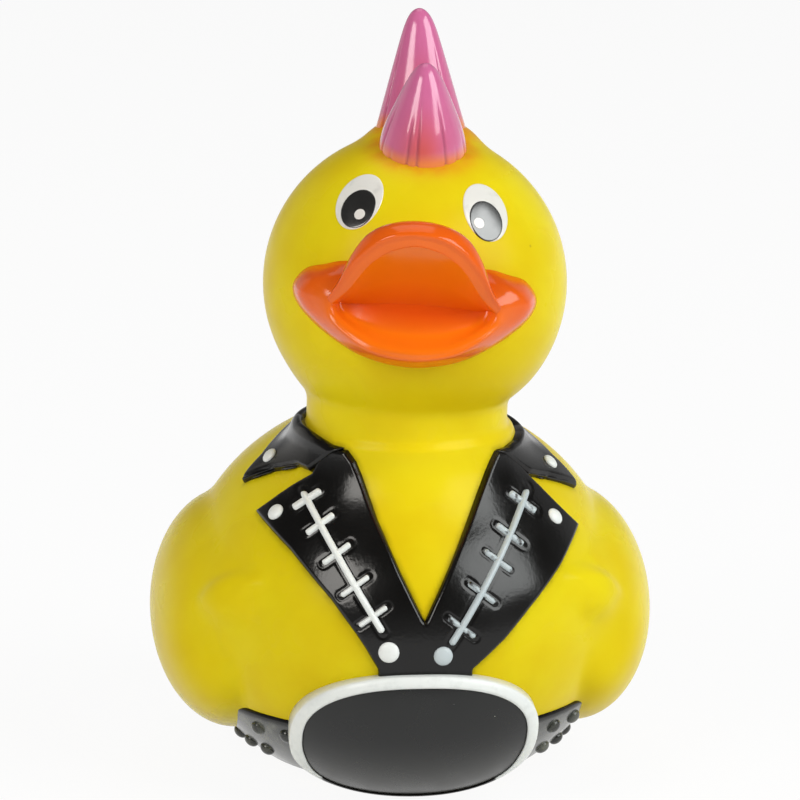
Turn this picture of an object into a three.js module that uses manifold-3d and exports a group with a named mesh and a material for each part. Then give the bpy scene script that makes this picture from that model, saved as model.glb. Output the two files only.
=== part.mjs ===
// A toy duck with a crest of hair, a studded jacket collar and a belt with an oval buckle.
// It is one hollow moulding of soft vinyl with no opening that shows, so it is one solid.
// Millimetres, +Z up. It faces -Y and stands on the flat of its base, with the origin on that flat.
import * as THREE from 'three';
import { ParametricGeometry } from 'three/addons/geometries/ParametricGeometry.js';
import { mergeVertices } from 'three/addons/utils/BufferGeometryUtils.js';
import Module from 'manifold-3d';

// Body: an egg with a flat base
const bodyHalfWidth = 31.1;
const bodyHalfLength = 36.5;
const bodyHalfHeight = 27.6;
const bodyCentreHeight = 24;
const bodySetBack = 4.5;
const baseRounding = 2;

// Tail: a flat egg pitched up behind the body
const tailHalfWidth = 13.5;
const tailHalfLength = 15;
const tailHalfThickness = 6.5;
const tailSetBack = 28.5;
const tailRise = 7;
const tailPitch = 24;
const tailBlend = 11;

// Wings: an egg on each flank, with a rounded hand at its front
const wingHalfThickness = 11.8;
const wingHalfLength = 25;
const wingHalfHeight = 16.6;
const wingInset = 7.2;
const wingSetBack = 2;
const wingDrop = 2.2;
const wingCrease = 1.5;
const handHalfWidth = 6.8;
const handHalfLength = 8.5;
const handHalfHeight = 5.2;
const handForward = 24.5;
const handRise = 4.7;
const handInset = 2.1;
const handBlend = 3;

// Neck and head
const neckRadius = 13.9;
const neckForward = 11.5;
const neckBlend = 5;
const headRadius = 20.9;
const headLift = 18.9;
const headRoll = 3.4;
const headTurn = -5;
const poseLow = 3.2;
const poseHigh = 7.8;

// Bill: an open mouth with a turned-up upper rim, cheek lobes at its corners and a fat lower lip
const billHalfWidth = 16;
const billTop = 11;
const billBottom = 8.2;
const mouthHeight = 1;
const mouthHalfWidth = 13.9;
const mouthDepth = 19.8;
const creaseDepth = 21.5;
const creaseHalfWidth = 12;
const creaseOpening = 0.4;
const archTop = 12.5;
const archReach = 28.8;
const lipDrop = 4.6;
const lipReach = 27.5;
const cheekBulge = 2;
const lipBulge = 1.3;
const archHollow = 1;
const archRimRadius = 1.2;
const cheekRimRadius = 2.4;
const lipRimRadius = 1.5;
const billRootShare = 0.85;

// Bill outlines from top to bottom: shares of its width, then of its height and of its reach
const rootAbove = [[0, 1], [0.29, 0.93], [0.54, 0.73], [0.71, 0.56], [0.9, 0.38]];
const rootBelow = [[0.91, 0.29], [0.66, 0.63], [0.35, 0.9], [0, 1]];
const rimAbove = [[0, 1, 1], [0.33, 0.91, 0.91], [0.58, 0.67, 0.67], [0.71, 0.4, 0.58], [0.83, 0.15, 0.33]];
const rimBelow = [[0.85, 0.24, 0.36], [0.62, 0.55, 0.69], [0.33, 0.91, 0.91], [0, 1, 1]];

// Crest: three spikes in a row over the crown, the middle one the tallest
const spikeHalfWidth = 7.2;
const spikeHalfDepth = 6.2;
const spikeSink = 5;
const spikeFan = 19;
const tallSpikeBack = 6;
const frontSpikeRise = 11.1;
const tallSpikeRise = 16.6;
const rearSpikeRise = 8;
const frontSpikeTaper = 0.72;
const tallSpikeTaper = 0.56;
const rearSpikeTaper = 0.6;
const spikeLean = 2;
const strandDepth = 0.35;
const strandCount = 8;

// Eyes: flat ovals that stand just proud of the head
const eyeAzimuth = 30.4;
const eyeElevation = 39;
const eyeHalfWidth = 3.35;
const eyeHalfHeight = 4.4;
const eyeLean = 10;
const pupilHalfWidth = 2.3;
const pupilHalfHeight = 2.8;
const pupilDrop = 1.2;
const paintStep = 0.2;

// Jacket: lapels over the chest and a collar round the neck, as drops below the neck's foot
const neckFootDrop = 1.2;
const lapelStep = 0.9;
const jacketShift = 0.5;
const openingHalfWidth = 9.5;
const openingTopDrop = 1.4;
const openingBottomDrop = 21.6;
const openingBow = 0.9;
const notchAcross = 14.6;
const notchDrop = 5.4;
const notchTuck = 2;
const lapelCornerAcross = 22;
const lapelCornerDrop = 12;
const lapelFootAcross = 6.1;
const lapelFootDrop = 28.5;
const lapelBow = 0.8;
const collarStep = 1.2;
const collarTopRise = 0.5;
const collarTilt = 10;
const collarTipAcross = 23.3;
const collarTipBack = 1.4;
const collarNotchForward = 7.6;
const collarBackRadius = 19;

// Studs and the laced seams on the lapels
const studRadius = 1.35;
const studHeight = 0.7;
const collarStudAcross = 19.5;
const collarStudBack = 2.7;
const lapelStudAcross = 19;
const lapelStudDrop = 10.6;
const footStudAcross = 3.8;
const footStudDrop = 26;
const seamWidth = 0.9;
const seamStep = 0.5;
const seamTopAcross = 15.4;
const seamTopDrop = 7.5;
const seamBottomAcross = 4.8;
const seamBottomDrop = 23.7;
const barCount = 5;
const firstBar = 0.35;
const barHalfLength = 2.3;
const barWidth = 0.85;

// Belt and buckle
const beltLow = 2.6;
const beltHigh = 12.4;
const beltStep = 0.7;
const beltStudRadius = 1.15;
const beltStudHeight = 0.7;
const beltStudCount = 30;
const beltStudRowGap = 4.2;
const buckleHalfWidth = 17.6;
const buckleHalfHeight = 9.6;
const buckleCentreHeight = 11.5;
const buckleRimWidth = 1.7;
const buckleRimStep = 0.5;
const buckleProud = 2;
const buckleFaceHalfWidth = 29;
const buckleFaceHalfHeight = 21.5;
const buckleSquareness = 2.3;
const buckleFaceDrop = 6;

// Facets
const turns = 48;
const headRows = 18;
const bodyRows = 27;
const billTurns = 36;
const billRows = 12;
const spikeTurns = 24;
const spikeRows = 6;
const domeTurns = 8;
const domeRows = 4;
const outlineSteps = 8;
const ovalSteps = 28;
const bandSides = 8;
const tipCrowding = 1.6;
const rayStride = 1.5;
const rayHalvings = 22;
const slopeProbe = 0.05;
const weldDistance = 1e-5;
const tiny = 1e-6;

// Places that follow from the sizes
const degree = Math.PI / 180;
const neckY = bodySetBack - neckForward;
const crownHeight = bodyCentreHeight + bodyHalfHeight;
const neckFoot = crownHeight - neckFootDrop;
const headCentre = new THREE.Vector3(0, neckY, crownHeight + headLift);
const bodyHeart = new THREE.Vector3(0, (neckY + bodySetBack) / 2, bodyCentreHeight);
const wingX = bodyHalfWidth - wingInset;
const wingY = bodySetBack + wingSetBack;
const wingZ = bodyCentreHeight - wingDrop;
const reach = 2 * (bodyHalfLength + bodyHalfWidth);

const wasm = await Module();
wasm.setup();

// Signed fields: negative inside a form
function egg(x, y, z, rx, ry, rz) {
  const near = Math.hypot(x / rx, y / ry, z / rz);
  const slope = Math.hypot(x / rx ** 2, y / ry ** 2, z / rz ** 2);
  return slope > 0 ? near * (near - 1) / slope : -Math.min(rx, ry, rz);
}

function blend(a, b, width) {
  const share = THREE.MathUtils.clamp(0.5 + 0.5 * (b - a) / width, 0, 1);
  return b + (a - b) * share - width * share * (1 - share);
}

function tailField(x, y, z) {
  const back = y - bodySetBack - tailSetBack;
  const up = z - bodyCentreHeight - tailRise;
  const along = back * Math.cos(tailPitch * degree) + up * Math.sin(tailPitch * degree);
  const across = up * Math.cos(tailPitch * degree) - back * Math.sin(tailPitch * degree);
  return egg(x, along, across, tailHalfWidth, tailHalfLength, tailHalfThickness);
}

// Body, tail and neck without the wings
function hullField(x, y, z) {
  const torso = egg(x, y - bodySetBack, z - bodyCentreHeight, bodyHalfWidth, bodyHalfLength, bodyHalfHeight);
  const withTail = blend(torso, tailField(x, y, z), tailBlend);
  const column = Math.hypot(x, y - neckY) - neckRadius;
  const neck = Math.max(column, bodyCentreHeight - z, z - headCentre.z);
  return blend(withTail, neck, neckBlend);
}

function wingField(x, y, z) {
  const side = Math.abs(x) - wingX;
  const wing = egg(side, y - wingY, z - wingZ, wingHalfThickness, wingHalfLength, wingHalfHeight);
  const handY = wingY - handForward;
  const handZ = wingZ + handRise;
  const hand = egg(side + handInset, y - handY, z - handZ, handHalfWidth, handHalfLength, handHalfHeight);
  return blend(wing, hand, handBlend);
}

// Field of the body grown outwards, with or without its wings, cut flat at the base
function bodyField(x, y, z, grow, winged) {
  const hull = hullField(x, y, z);
  const form = winged ? blend(hull, wingField(x, y, z), wingCrease) : hull;
  return -blend(grow - form, z, baseRounding);
}

// Point where a ray from inside leaves the body
function leave(from, along, grow, winged) {
  const point = new THREE.Vector3();
  const outside = (t) => {
    point.copy(from).addScaledVector(along, t);
    return bodyField(point.x, point.y, point.z, grow, winged) > 0;
  };
  let far = rayStride;
  while (far < reach && !outside(far)) far += rayStride;
  let near = far - rayStride;
  for (let step = 0; step < rayHalvings; step += 1) {
    const middle = (near + far) / 2;
    if (outside(middle)) far = middle;
    else near = middle;
  }
  return point.copy(from).addScaledVector(along, (near + far) / 2);
}

// A closed surface becomes a solid: shared points merged and collapsed triangles dropped
function toSolid(geometry) {
  const bare = geometry.clone();
  bare.deleteAttribute('normal');
  bare.deleteAttribute('uv');
  const merged = mergeVertices(bare, weldDistance);
  const corners = merged.index.array;
  const kept = [];
  for (let i = 0; i < corners.length; i += 3) {
    const [a, b, c] = [corners[i], corners[i + 1], corners[i + 2]];
    if (a !== b && b !== c && c !== a) kept.push(a, b, c);
  }
  const vertProperties = new Float32Array(merged.attributes.position.array);
  const mesh = new wasm.Mesh({ numProp: 3, vertProperties, triVerts: new Uint32Array(kept) });
  return new wasm.Manifold(mesh);
}

// Body: rows run from the neck, whose top is inside the head, out over the flanks and under the base
function bodySolid(grow, winged) {
  const place = (u, v, target) => {
    const around = (v % 1) * 2 * Math.PI;
    const down = u * Math.PI;
    const out = u < tiny || u > 1 - tiny ? 0 : Math.sin(down);
    const ray = new THREE.Vector3(out * Math.sin(around), -out * Math.cos(around), Math.cos(down));
    target.copy(leave(bodyHeart, ray, grow, winged));
  };
  return toSolid(new ParametricGeometry(place, bodyRows, turns));
}

function headSolid(grow) {
  const geometry = new THREE.SphereGeometry(headRadius + grow, turns, headRows);
  geometry.rotateX(Math.PI / 2);
  geometry.translate(headCentre.x, headCentre.y, headCentre.z);
  return toSolid(geometry);
}

// A closed curve through points on the right half, mirrored to the left
function mirroredLoop(half) {
  const left = half.slice(1, -1).reverse().map((p) => new THREE.Vector3(-p.x, p.y, p.z));
  return new THREE.CatmullRomCurve3([...half, ...left], true, 'centripetal');
}

// Bill: a profile carried round the mouth, from inside the head over the rim to the mouth's crease
function billSolid() {
  const mouth = new THREE.Vector3(0, -creaseDepth, mouthHeight);
  const onHead = (x, z) => new THREE.Vector3(x, -Math.sqrt(headRadius ** 2 - x ** 2 - z ** 2), z);
  const onRim = (across, rise, out, height, reachOut) => new THREE.Vector3(
    mouthHalfWidth * across,
    -THREE.MathUtils.lerp(mouthDepth, reachOut, out),
    THREE.MathUtils.lerp(mouthHeight, height, rise),
  );
  const root = mirroredLoop([
    ...rootAbove.map(([across, rise]) => onHead(billHalfWidth * across, billTop * rise)),
    onHead(billHalfWidth, mouthHeight),
    ...rootBelow.map(([across, fall]) => onHead(billHalfWidth * across, -billBottom * fall)),
  ]);
  const rim = mirroredLoop([
    ...rimAbove.map(([across, rise, out]) => onRim(across, rise, out, archTop, archReach)),
    onRim(1, 0, 0, archTop, archReach),
    ...rimBelow.map(([across, fall, out]) => onRim(across, fall, out, -lipDrop, lipReach)),
  ]);
  const inside = new THREE.Vector3(0, -headRadius / 2, mouthHeight);
  const place = (u, v, target) => {
    const turn = v % 1;
    const foot = root.getPoint(turn);
    const crest = rim.getPoint(turn);
    const outward = crest.clone().sub(mouth).setY(0).normalize();
    const rise = Math.cos(turn * 2 * Math.PI);
    const cheek = 1 - rise ** 2;
    const bulge = cheekBulge * cheek + (rise > 0 ? -archHollow : lipBulge) * rise ** 2;
    const rimRadius = cheekRimRadius * cheek + (rise > 0 ? archRimRadius : lipRimRadius) * rise ** 2;
    const middle = foot.clone().lerp(crest, 0.5).addScaledVector(outward, bulge);
    const lipOut = crest.clone().addScaledVector(outward, rimRadius);
    lipOut.y += rimRadius;
    const lipIn = crest.clone().addScaledVector(outward, -rimRadius);
    lipIn.y += rimRadius;
    const crease = new THREE.Vector3(
      creaseHalfWidth * Math.sin(turn * 2 * Math.PI),
      -creaseDepth + (creaseDepth - mouthDepth) * cheek,
      mouthHeight + creaseOpening * rise,
    );
    const wall = lipIn.clone().lerp(crease, 0.5);
    wall.y += rimRadius * (1 - cheek);
    const profile = new THREE.CatmullRomCurve3([
      inside.clone().lerp(foot, billRootShare),
      foot,
      middle,
      lipOut,
      crest,
      lipIn,
      wall,
      crease,
    ], false, 'centripetal');
    const along = THREE.MathUtils.clamp((u * billRows - 1) / (billRows - 2), 0, 1);
    if (u < tiny) target.copy(inside);
    else if (u > 1 - tiny) target.copy(mouth);
    else target.copy(profile.getPoint(along));
    target.add(headCentre);
  };
  return toSolid(new ParametricGeometry(place, billRows, billTurns));
}

// A spike of hair: a blunt taper from its tip down into the head, with strand grooves that fade upwards
function spikeSolid(rise, taper, back, lean) {
  const root = headRadius - spikeSink;
  const length = rise + spikeSink;
  const place = (u, v, target) => {
    const around = (v % 1) * 2 * Math.PI;
    const fall = u ** tipCrowding;
    const width = u > 1 - tiny ? 0 : fall ** taper;
    const groove = width * strandDepth * u ** 2 * (0.5 + 0.5 * Math.cos(strandCount * around));
    target.set(
      Math.sin(around) * (spikeHalfWidth * width - groove),
      -Math.cos(around) * (spikeHalfDepth * width - groove),
      root + length * (1 - fall),
    );
    target.x -= length * (1 - fall) * Math.tan(lean * degree);
  };
  const geometry = new ParametricGeometry(place, spikeRows, spikeTurns);
  geometry.rotateX(-back * degree);
  geometry.translate(headCentre.x, headCentre.y, headCentre.z);
  return toSolid(geometry);
}

function extruded(shape, depth) {
  return new THREE.ExtrudeGeometry(shape, { depth, bevelEnabled: false, curveSegments: outlineSteps });
}

// A front-view outline (x across, y up) driven from the body's middle out of the chest
function frontPrism(shape, shift) {
  const geometry = extruded(shape, reach);
  geometry.rotateX(Math.PI / 2);
  geometry.translate(shift, bodySetBack, 0);
  return toSolid(geometry);
}

function frontPoint(across, height, grow, winged) {
  const from = new THREE.Vector3(across, bodySetBack, height);
  return leave(from, new THREE.Vector3(0, -1, 0), grow, winged);
}

// Lapels: one outline for both, with the V opening between them
function lapelShape() {
  const shape = new THREE.Shape();
  const top = neckFoot - openingTopDrop;
  const bottom = neckFoot - openingBottomDrop;
  const footHeight = neckFoot - lapelFootDrop;
  const cornerHeight = neckFoot - lapelCornerDrop;
  const hidden = neckFoot + collarTopRise / 2;
  const edge = (side, from, to, bow) => {
    const [fromX, fromZ] = from;
    const [toX, toZ] = to;
    const bowX = (fromX + toX) / 2 + bow;
    shape.quadraticCurveTo(side * bowX, (fromZ + toZ) / 2 + bow, side * toX, toZ);
  };
  const opening = [openingHalfWidth, top];
  const corner = [lapelCornerAcross, cornerHeight];
  const foot = [lapelFootAcross, footHeight];
  const v = [0, bottom];
  shape.moveTo(0, bottom);
  edge(1, v, opening, openingBow);
  shape.lineTo(notchAcross - notchTuck, hidden);
  shape.lineTo(notchAcross, neckFoot - notchDrop);
  shape.lineTo(lapelCornerAcross, cornerHeight);
  edge(1, corner, foot, lapelBow);
  shape.lineTo(lapelFootAcross, buckleCentreHeight);
  shape.lineTo(-lapelFootAcross, buckleCentreHeight);
  shape.lineTo(-lapelFootAcross, footHeight);
  edge(-1, foot, corner, lapelBow);
  shape.lineTo(-notchAcross, neckFoot - notchDrop);
  shape.lineTo(notchTuck - notchAcross, hidden);
  shape.lineTo(-openingHalfWidth, top);
  edge(-1, opening, v, openingBow);
  return shape;
}

// Collar: a top-view band round the neck with a point over each shoulder
function collarSolid() {
  const shape = new THREE.Shape();
  const frontX = openingHalfWidth;
  const frontY = -Math.sqrt((neckRadius + collarStep) ** 2 - frontX ** 2);
  const backStart = Math.PI / 4;
  const backX = collarBackRadius * Math.cos(backStart);
  const backY = collarBackRadius * Math.sin(backStart);
  shape.moveTo(-frontX, 0);
  shape.lineTo(-frontX, frontY - collarStep);
  shape.lineTo(-notchAcross, -collarNotchForward);
  shape.lineTo(-collarTipAcross, collarTipBack);
  shape.quadraticCurveTo(-collarBackRadius, collarTipBack + backY / 3, -backX, backY);
  shape.absarc(0, 0, collarBackRadius, Math.PI - backStart, backStart, true);
  shape.quadraticCurveTo(collarBackRadius, collarTipBack + backY / 3, collarTipAcross, collarTipBack);
  shape.lineTo(notchAcross, -collarNotchForward);
  shape.lineTo(frontX, frontY - collarStep);
  shape.lineTo(frontX, 0);
  const depth = crownHeight - bodyCentreHeight;
  const geometry = extruded(shape, depth);
  geometry.translate(0, 0, -depth);
  geometry.rotateX(collarTilt * degree);
  geometry.translate(jacketShift, neckY, neckFoot + collarTopRise);
  return toSolid(geometry).intersect(bodySolid(collarStep, true));
}

function barShape(fromX, fromZ, toX, toZ, width) {
  const side = new THREE.Vector2(toZ - fromZ, fromX - toX).setLength(width / 2);
  return new THREE.Shape([
    new THREE.Vector2(fromX - side.x, fromZ - side.y),
    new THREE.Vector2(fromX + side.x, fromZ + side.y),
    new THREE.Vector2(toX + side.x, toZ + side.y),
    new THREE.Vector2(toX - side.x, toZ - side.y),
  ]);
}

// Laced seam: a raised line down the lapel with bars across it
function seamSolid(side, raised) {
  const top = new THREE.Vector2(side * seamTopAcross, neckFoot - seamTopDrop);
  const bottom = new THREE.Vector2(side * seamBottomAcross, neckFoot - seamBottomDrop);
  const across = bottom.clone().sub(top).rotateAround(new THREE.Vector2(), Math.PI / 2);
  across.setLength(barHalfLength);
  let lacing = frontPrism(barShape(top.x, top.y, bottom.x, bottom.y, seamWidth), jacketShift);
  for (let i = 0; i < barCount; i += 1) {
    const middle = top.clone().lerp(bottom, (i + firstBar) / barCount);
    const from = middle.clone().add(across);
    const to = middle.clone().sub(across);
    lacing = lacing.add(frontPrism(barShape(from.x, from.y, to.x, to.y, barWidth), jacketShift));
  }
  return lacing.intersect(raised);
}

// A dome seated on the skin, square to it
function domeSolid(seat, radius, height, grow, winged) {
  const at = (x, y, z) => bodyField(x, y, z, grow, winged);
  const normal = new THREE.Vector3(
    at(seat.x + slopeProbe, seat.y, seat.z) - at(seat.x - slopeProbe, seat.y, seat.z),
    at(seat.x, seat.y + slopeProbe, seat.z) - at(seat.x, seat.y - slopeProbe, seat.z),
    at(seat.x, seat.y, seat.z + slopeProbe) - at(seat.x, seat.y, seat.z - slopeProbe),
  ).normalize();
  const geometry = new THREE.SphereGeometry(1, domeTurns, domeRows);
  geometry.scale(radius, height, radius);
  geometry.applyQuaternion(new THREE.Quaternion().setFromUnitVectors(new THREE.Vector3(0, 1, 0), normal));
  geometry.translate(seat.x, seat.y, seat.z);
  return toSolid(geometry);
}

function jacketStuds() {
  const domes = [];
  for (const side of [-1, 1]) {
    const across = (distance) => jacketShift + side * distance;
    const over = new THREE.Vector3(across(collarStudAcross), neckY + collarStudBack, bodyCentreHeight);
    const shoulder = leave(over, new THREE.Vector3(0, 0, 1), collarStep, true);
    const chest = frontPoint(across(lapelStudAcross), neckFoot - lapelStudDrop, lapelStep, true);
    const foot = frontPoint(across(footStudAcross), neckFoot - footStudDrop, lapelStep, true);
    domes.push(domeSolid(shoulder, studRadius, studHeight, collarStep, true));
    domes.push(domeSolid(chest, studRadius, studHeight, lapelStep, true));
    domes.push(domeSolid(foot, studRadius, studHeight, lapelStep, true));
  }
  return domes;
}

// Belt: a band round the hull that runs under the wings
function beltSolid() {
  const band = new THREE.CylinderGeometry(reach, reach, beltHigh - beltLow, bandSides);
  band.rotateX(Math.PI / 2);
  band.translate(0, 0, (beltLow + beltHigh) / 2);
  return bodySolid(beltStep, false).intersect(toSolid(band));
}

// Belt studs: two staggered rows round the hull, left out where a wing or the buckle covers the belt
function beltStuds() {
  const domes = [];
  for (let i = 0; i < beltStudCount; i += 1) {
    const height = (beltLow + beltHigh) / 2 + (i % 2 ? 0.5 : -0.5) * beltStudRowGap;
    const angle = ((i + 0.5) / beltStudCount) * 2 * Math.PI;
    const from = new THREE.Vector3(0, bodySetBack, height);
    const seat = leave(from, new THREE.Vector3(Math.sin(angle), -Math.cos(angle), 0), beltStep, false);
    const underWing = wingField(seat.x, seat.y, seat.z) < beltStudRadius;
    const atBuckle = seat.y < bodySetBack && Math.abs(seat.x) < buckleHalfWidth + beltStudRadius;
    if (underWing || atBuckle) continue;
    domes.push(domeSolid(seat, beltStudRadius, beltStudHeight, beltStep, false));
  }
  return domes;
}

// An oval outline: an ellipse at a squareness of 2, fuller in its corners above that
function ovalShape(halfWidth, halfHeight, centreHeight, squareness, steps) {
  const points = [];
  const swell = (value) => Math.sign(value) * Math.abs(value) ** (2 / squareness);
  for (let i = 0; i < steps; i += 1) {
    const angle = (i / steps) * 2 * Math.PI;
    const x = halfWidth * swell(Math.cos(angle));
    points.push(new THREE.Vector2(x, centreHeight + halfHeight * swell(Math.sin(angle))));
  }
  return new THREE.Shape(points);
}

function bucklePrism(inset) {
  const halfWidth = buckleHalfWidth - inset;
  const halfHeight = buckleHalfHeight - inset;
  return frontPrism(ovalShape(halfWidth, halfHeight, buckleCentreHeight, buckleSquareness, ovalSteps), 0);
}

// Buckle: a bowed oval plate in front of the belt, with a raised rim round its face
function buckleSolids() {
  const bowed = (step) => {
    const geometry = new THREE.SphereGeometry(1, turns, bodyRows);
    geometry.rotateX(Math.PI / 2);
    geometry.scale(
      buckleFaceHalfWidth + step,
      bodyHalfLength + buckleProud + step,
      buckleFaceHalfHeight + step,
    );
    geometry.translate(0, bodySetBack, bodyCentreHeight - buckleFaceDrop);
    return toSolid(geometry);
  };
  const rim = bucklePrism(0).intersect(bowed(buckleRimStep)).subtract(bucklePrism(buckleRimWidth));
  const face = bucklePrism(buckleRimWidth / 2).intersect(bowed(0));
  return { rim, face };
}

// Eyes: an oval bored square to the head, kept as a thin skin of paint
function eyeSolid(side, halfWidth, halfHeight, drop, step) {
  const depth = headRadius;
  const shape = ovalShape(halfWidth, halfHeight, -drop, 2, ovalSteps);
  const geometry = extruded(shape, depth);
  geometry.translate(0, 0, depth / 2);
  geometry.rotateZ(side * eyeLean * degree);
  geometry.rotateX(Math.PI / 2 - eyeElevation * degree);
  geometry.rotateZ(side * eyeAzimuth * degree);
  geometry.translate(headCentre.x, headCentre.y, headCentre.z);
  return toSolid(geometry).intersect(headSolid(step));
}

// The head leans and turns on the neck, more and more up to its full angle above the neck
function poseHead(point) {
  const share = THREE.MathUtils.smoothstep(point.z, crownHeight - poseLow, crownHeight + poseHigh);
  const pivot = new THREE.Vector3(0, neckY, crownHeight);
  point.sub(pivot);
  point.applyAxisAngle(new THREE.Vector3(0, 0, 1), headTurn * degree * share);
  point.applyAxisAngle(new THREE.Vector3(0, 1, 0), headRoll * degree * share);
  point.add(pivot);
}

const paint = (color, roughness) => new THREE.MeshStandardMaterial({ color, roughness, metalness: 0 });
const yellow = paint(0xe5cf28, 0.32);
const orange = paint(0xe9620f, 0.3);
const pink = paint(0xc9638c, 0.3);
const black = paint(0x1a1613, 0.22);
const grey = paint(0x3c3d3b, 0.3);
const white = paint(0xe2e6e2, 0.35);

// Every form of the duck with the paint that it carries
function paintedForms() {
  const raised = bodySolid(lapelStep + seamStep, true);
  const { rim, face } = buckleSolids();
  const forms = [
    [bodySolid(0, true), yellow],
    [headSolid(0), yellow],
    [billSolid(), orange],
    [spikeSolid(frontSpikeRise, frontSpikeTaper, tallSpikeBack - spikeFan, spikeLean / 2), pink],
    [spikeSolid(tallSpikeRise, tallSpikeTaper, tallSpikeBack, spikeLean), pink],
    [spikeSolid(rearSpikeRise, rearSpikeTaper, tallSpikeBack + spikeFan, spikeLean), pink],
    [frontPrism(lapelShape(), jacketShift).intersect(bodySolid(lapelStep, true)), black],
    [collarSolid(), black],
    [beltSolid(), grey],
    [face, grey],
    [rim, white],
  ];
  for (const side of [-1, 1]) {
    forms.push([seamSolid(side, raised), white]);
    forms.push([eyeSolid(side, eyeHalfWidth, eyeHalfHeight, 0, paintStep), white]);
    forms.push([eyeSolid(side, pupilHalfWidth, pupilHalfHeight, pupilDrop, 2 * paintStep), black]);
  }
  for (const dome of jacketStuds()) forms.push([dome, white]);
  for (const dome of beltStuds()) forms.push([dome, grey]);
  return forms;
}

// Join the forms into one body and give each run of faces its paint
function duckMesh() {
  const paints = [];
  const paintOf = new Map();
  let whole = null;
  for (const [form, material] of paintedForms()) {
    const original = form.asOriginal();
    if (!paints.includes(material)) paints.push(material);
    paintOf.set(original.originalID(), paints.indexOf(material));
    whole = whole ? whole.add(original) : original;
  }
  const joined = whole.getMesh();
  const point = new THREE.Vector3();
  const positions = new Float32Array(joined.numVert * 3);
  for (let i = 0; i < joined.numVert; i += 1) {
    point.fromArray(joined.vertProperties, i * joined.numProp);
    poseHead(point);
    point.toArray(positions, i * 3);
  }
  const geometry = new THREE.BufferGeometry();
  geometry.setAttribute('position', new THREE.BufferAttribute(positions, 3));
  geometry.setIndex(new THREE.BufferAttribute(joined.triVerts, 1));
  joined.runOriginalID.forEach((id, run) => {
    const start = joined.runIndex[run];
    geometry.addGroup(start, joined.runIndex[run + 1] - start, paintOf.get(id));
  });
  geometry.computeVertexNormals();
  const mesh = new THREE.Mesh(geometry, paints);
  mesh.name = 'duck';
  return mesh;
}

const toy = new THREE.Group();
toy.add(duckMesh());

export default toy;
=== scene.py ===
import bpy
import numpy as np
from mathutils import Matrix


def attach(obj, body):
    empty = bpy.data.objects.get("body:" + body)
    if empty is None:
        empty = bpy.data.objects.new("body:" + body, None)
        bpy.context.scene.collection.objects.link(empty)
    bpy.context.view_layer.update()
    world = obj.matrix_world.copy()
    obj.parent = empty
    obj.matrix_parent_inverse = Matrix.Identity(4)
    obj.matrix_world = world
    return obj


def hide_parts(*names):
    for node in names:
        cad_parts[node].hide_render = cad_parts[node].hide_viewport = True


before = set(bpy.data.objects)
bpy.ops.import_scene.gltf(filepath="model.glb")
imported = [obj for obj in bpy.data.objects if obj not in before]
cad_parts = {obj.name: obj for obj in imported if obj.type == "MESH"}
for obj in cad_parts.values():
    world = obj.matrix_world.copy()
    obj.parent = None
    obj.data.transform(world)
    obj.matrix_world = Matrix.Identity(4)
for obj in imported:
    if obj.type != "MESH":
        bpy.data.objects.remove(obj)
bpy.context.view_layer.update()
mm = 0.001
fullTurn = 2 * np.pi

# Sizes in millimetres, as in the CAD part: +Z up, the duck faces -Y
form = {
    "bodyCentre": (0, 4.5, 24), "bodyHalf": (31.1, 36.5, 27.6), "baseRounding": 2,
    "tailCentre": (0, 33, 31), "tailHalf": (13.5, 15, 6.5), "tailPitch": 24, "tailBlend": 11,
    "wingCentre": (23.9, 6.5, 21.5), "wingHalf": (11.7, 25, 16.4), "wingCrease": 0.9,
    "notchCentre": (26, -17.8, 22.3), "notchHalf": (5.5, 5.5, 4.2), "notchDepth": 2.3,
    "handCentre": (24.1, -16.7, 28.4), "handTurn": 53.5, "handTilt": 23, "handHalf": (7.4, 4.1),
    "handRim": 1.05, "handRise": 1.05, "handEdge": (0.9, 0.45), "handFade": 9, "handReach": 7,
    "handFillet": 5, "filletReach": 6.5,
    "neckY": -7, "neckRadius": 13.9, "neckStep": 0.7, "stepHeight": 50.3, "neckBlend": 5, "stepBlend": 0.8,
    "headCentre": (0, -7, 70.5), "headRadius": 20.9, "headBlend": 0.9,
    "moundCentre": (0, -4.4, 89.8), "moundHalf": (6.3, 5.5, 3.2), "moundBlend": 4,
    "crown": 51.6, "headRoll": 3.4, "headTurn": -5, "poseLow": 3.2, "poseHigh": 7.8,
}
bodyHeart = np.array([0, -1.25, 24])
headCentre = np.array(form["headCentre"], float)
upward = np.array([0, 0, 1.0])
backward = np.array([0, 1.0, 0])

# factors that mirror a point to the other side, and that leave out its depth
flip = np.array([-1, 1, 1])
flatten = np.array([1, 0, 1])


def egg(points, centre, half):
    # ellipsoid: how far the scaled point lies past the unit sphere, divided by the slope there
    scaled = (points - np.array(centre)) / half
    near = np.linalg.norm(scaled, axis=-1)
    slope = np.linalg.norm(scaled / half, axis=-1)
    return near * (near - 1) / np.maximum(slope, 1e-9)


def soften(a, b, width):
    # the lesser of two fields, with a rounded change-over of the given width
    share = np.clip(0.5 + 0.5 * (b - a) / width, 0, 1)
    return b + (a - b) * share - width * share * (1 - share)


def turned(points, axis, angle):
    # turns points about X, Y or Z through an angle in radians, which may differ from point to point
    first, second = {"x": (1, 2), "y": (2, 0), "z": (0, 1)}[axis]
    result = np.array(points, float)
    result[..., first] = points[..., first] * np.cos(angle) - points[..., second] * np.sin(angle)
    result[..., second] = points[..., first] * np.sin(angle) + points[..., second] * np.cos(angle)
    return result


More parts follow.
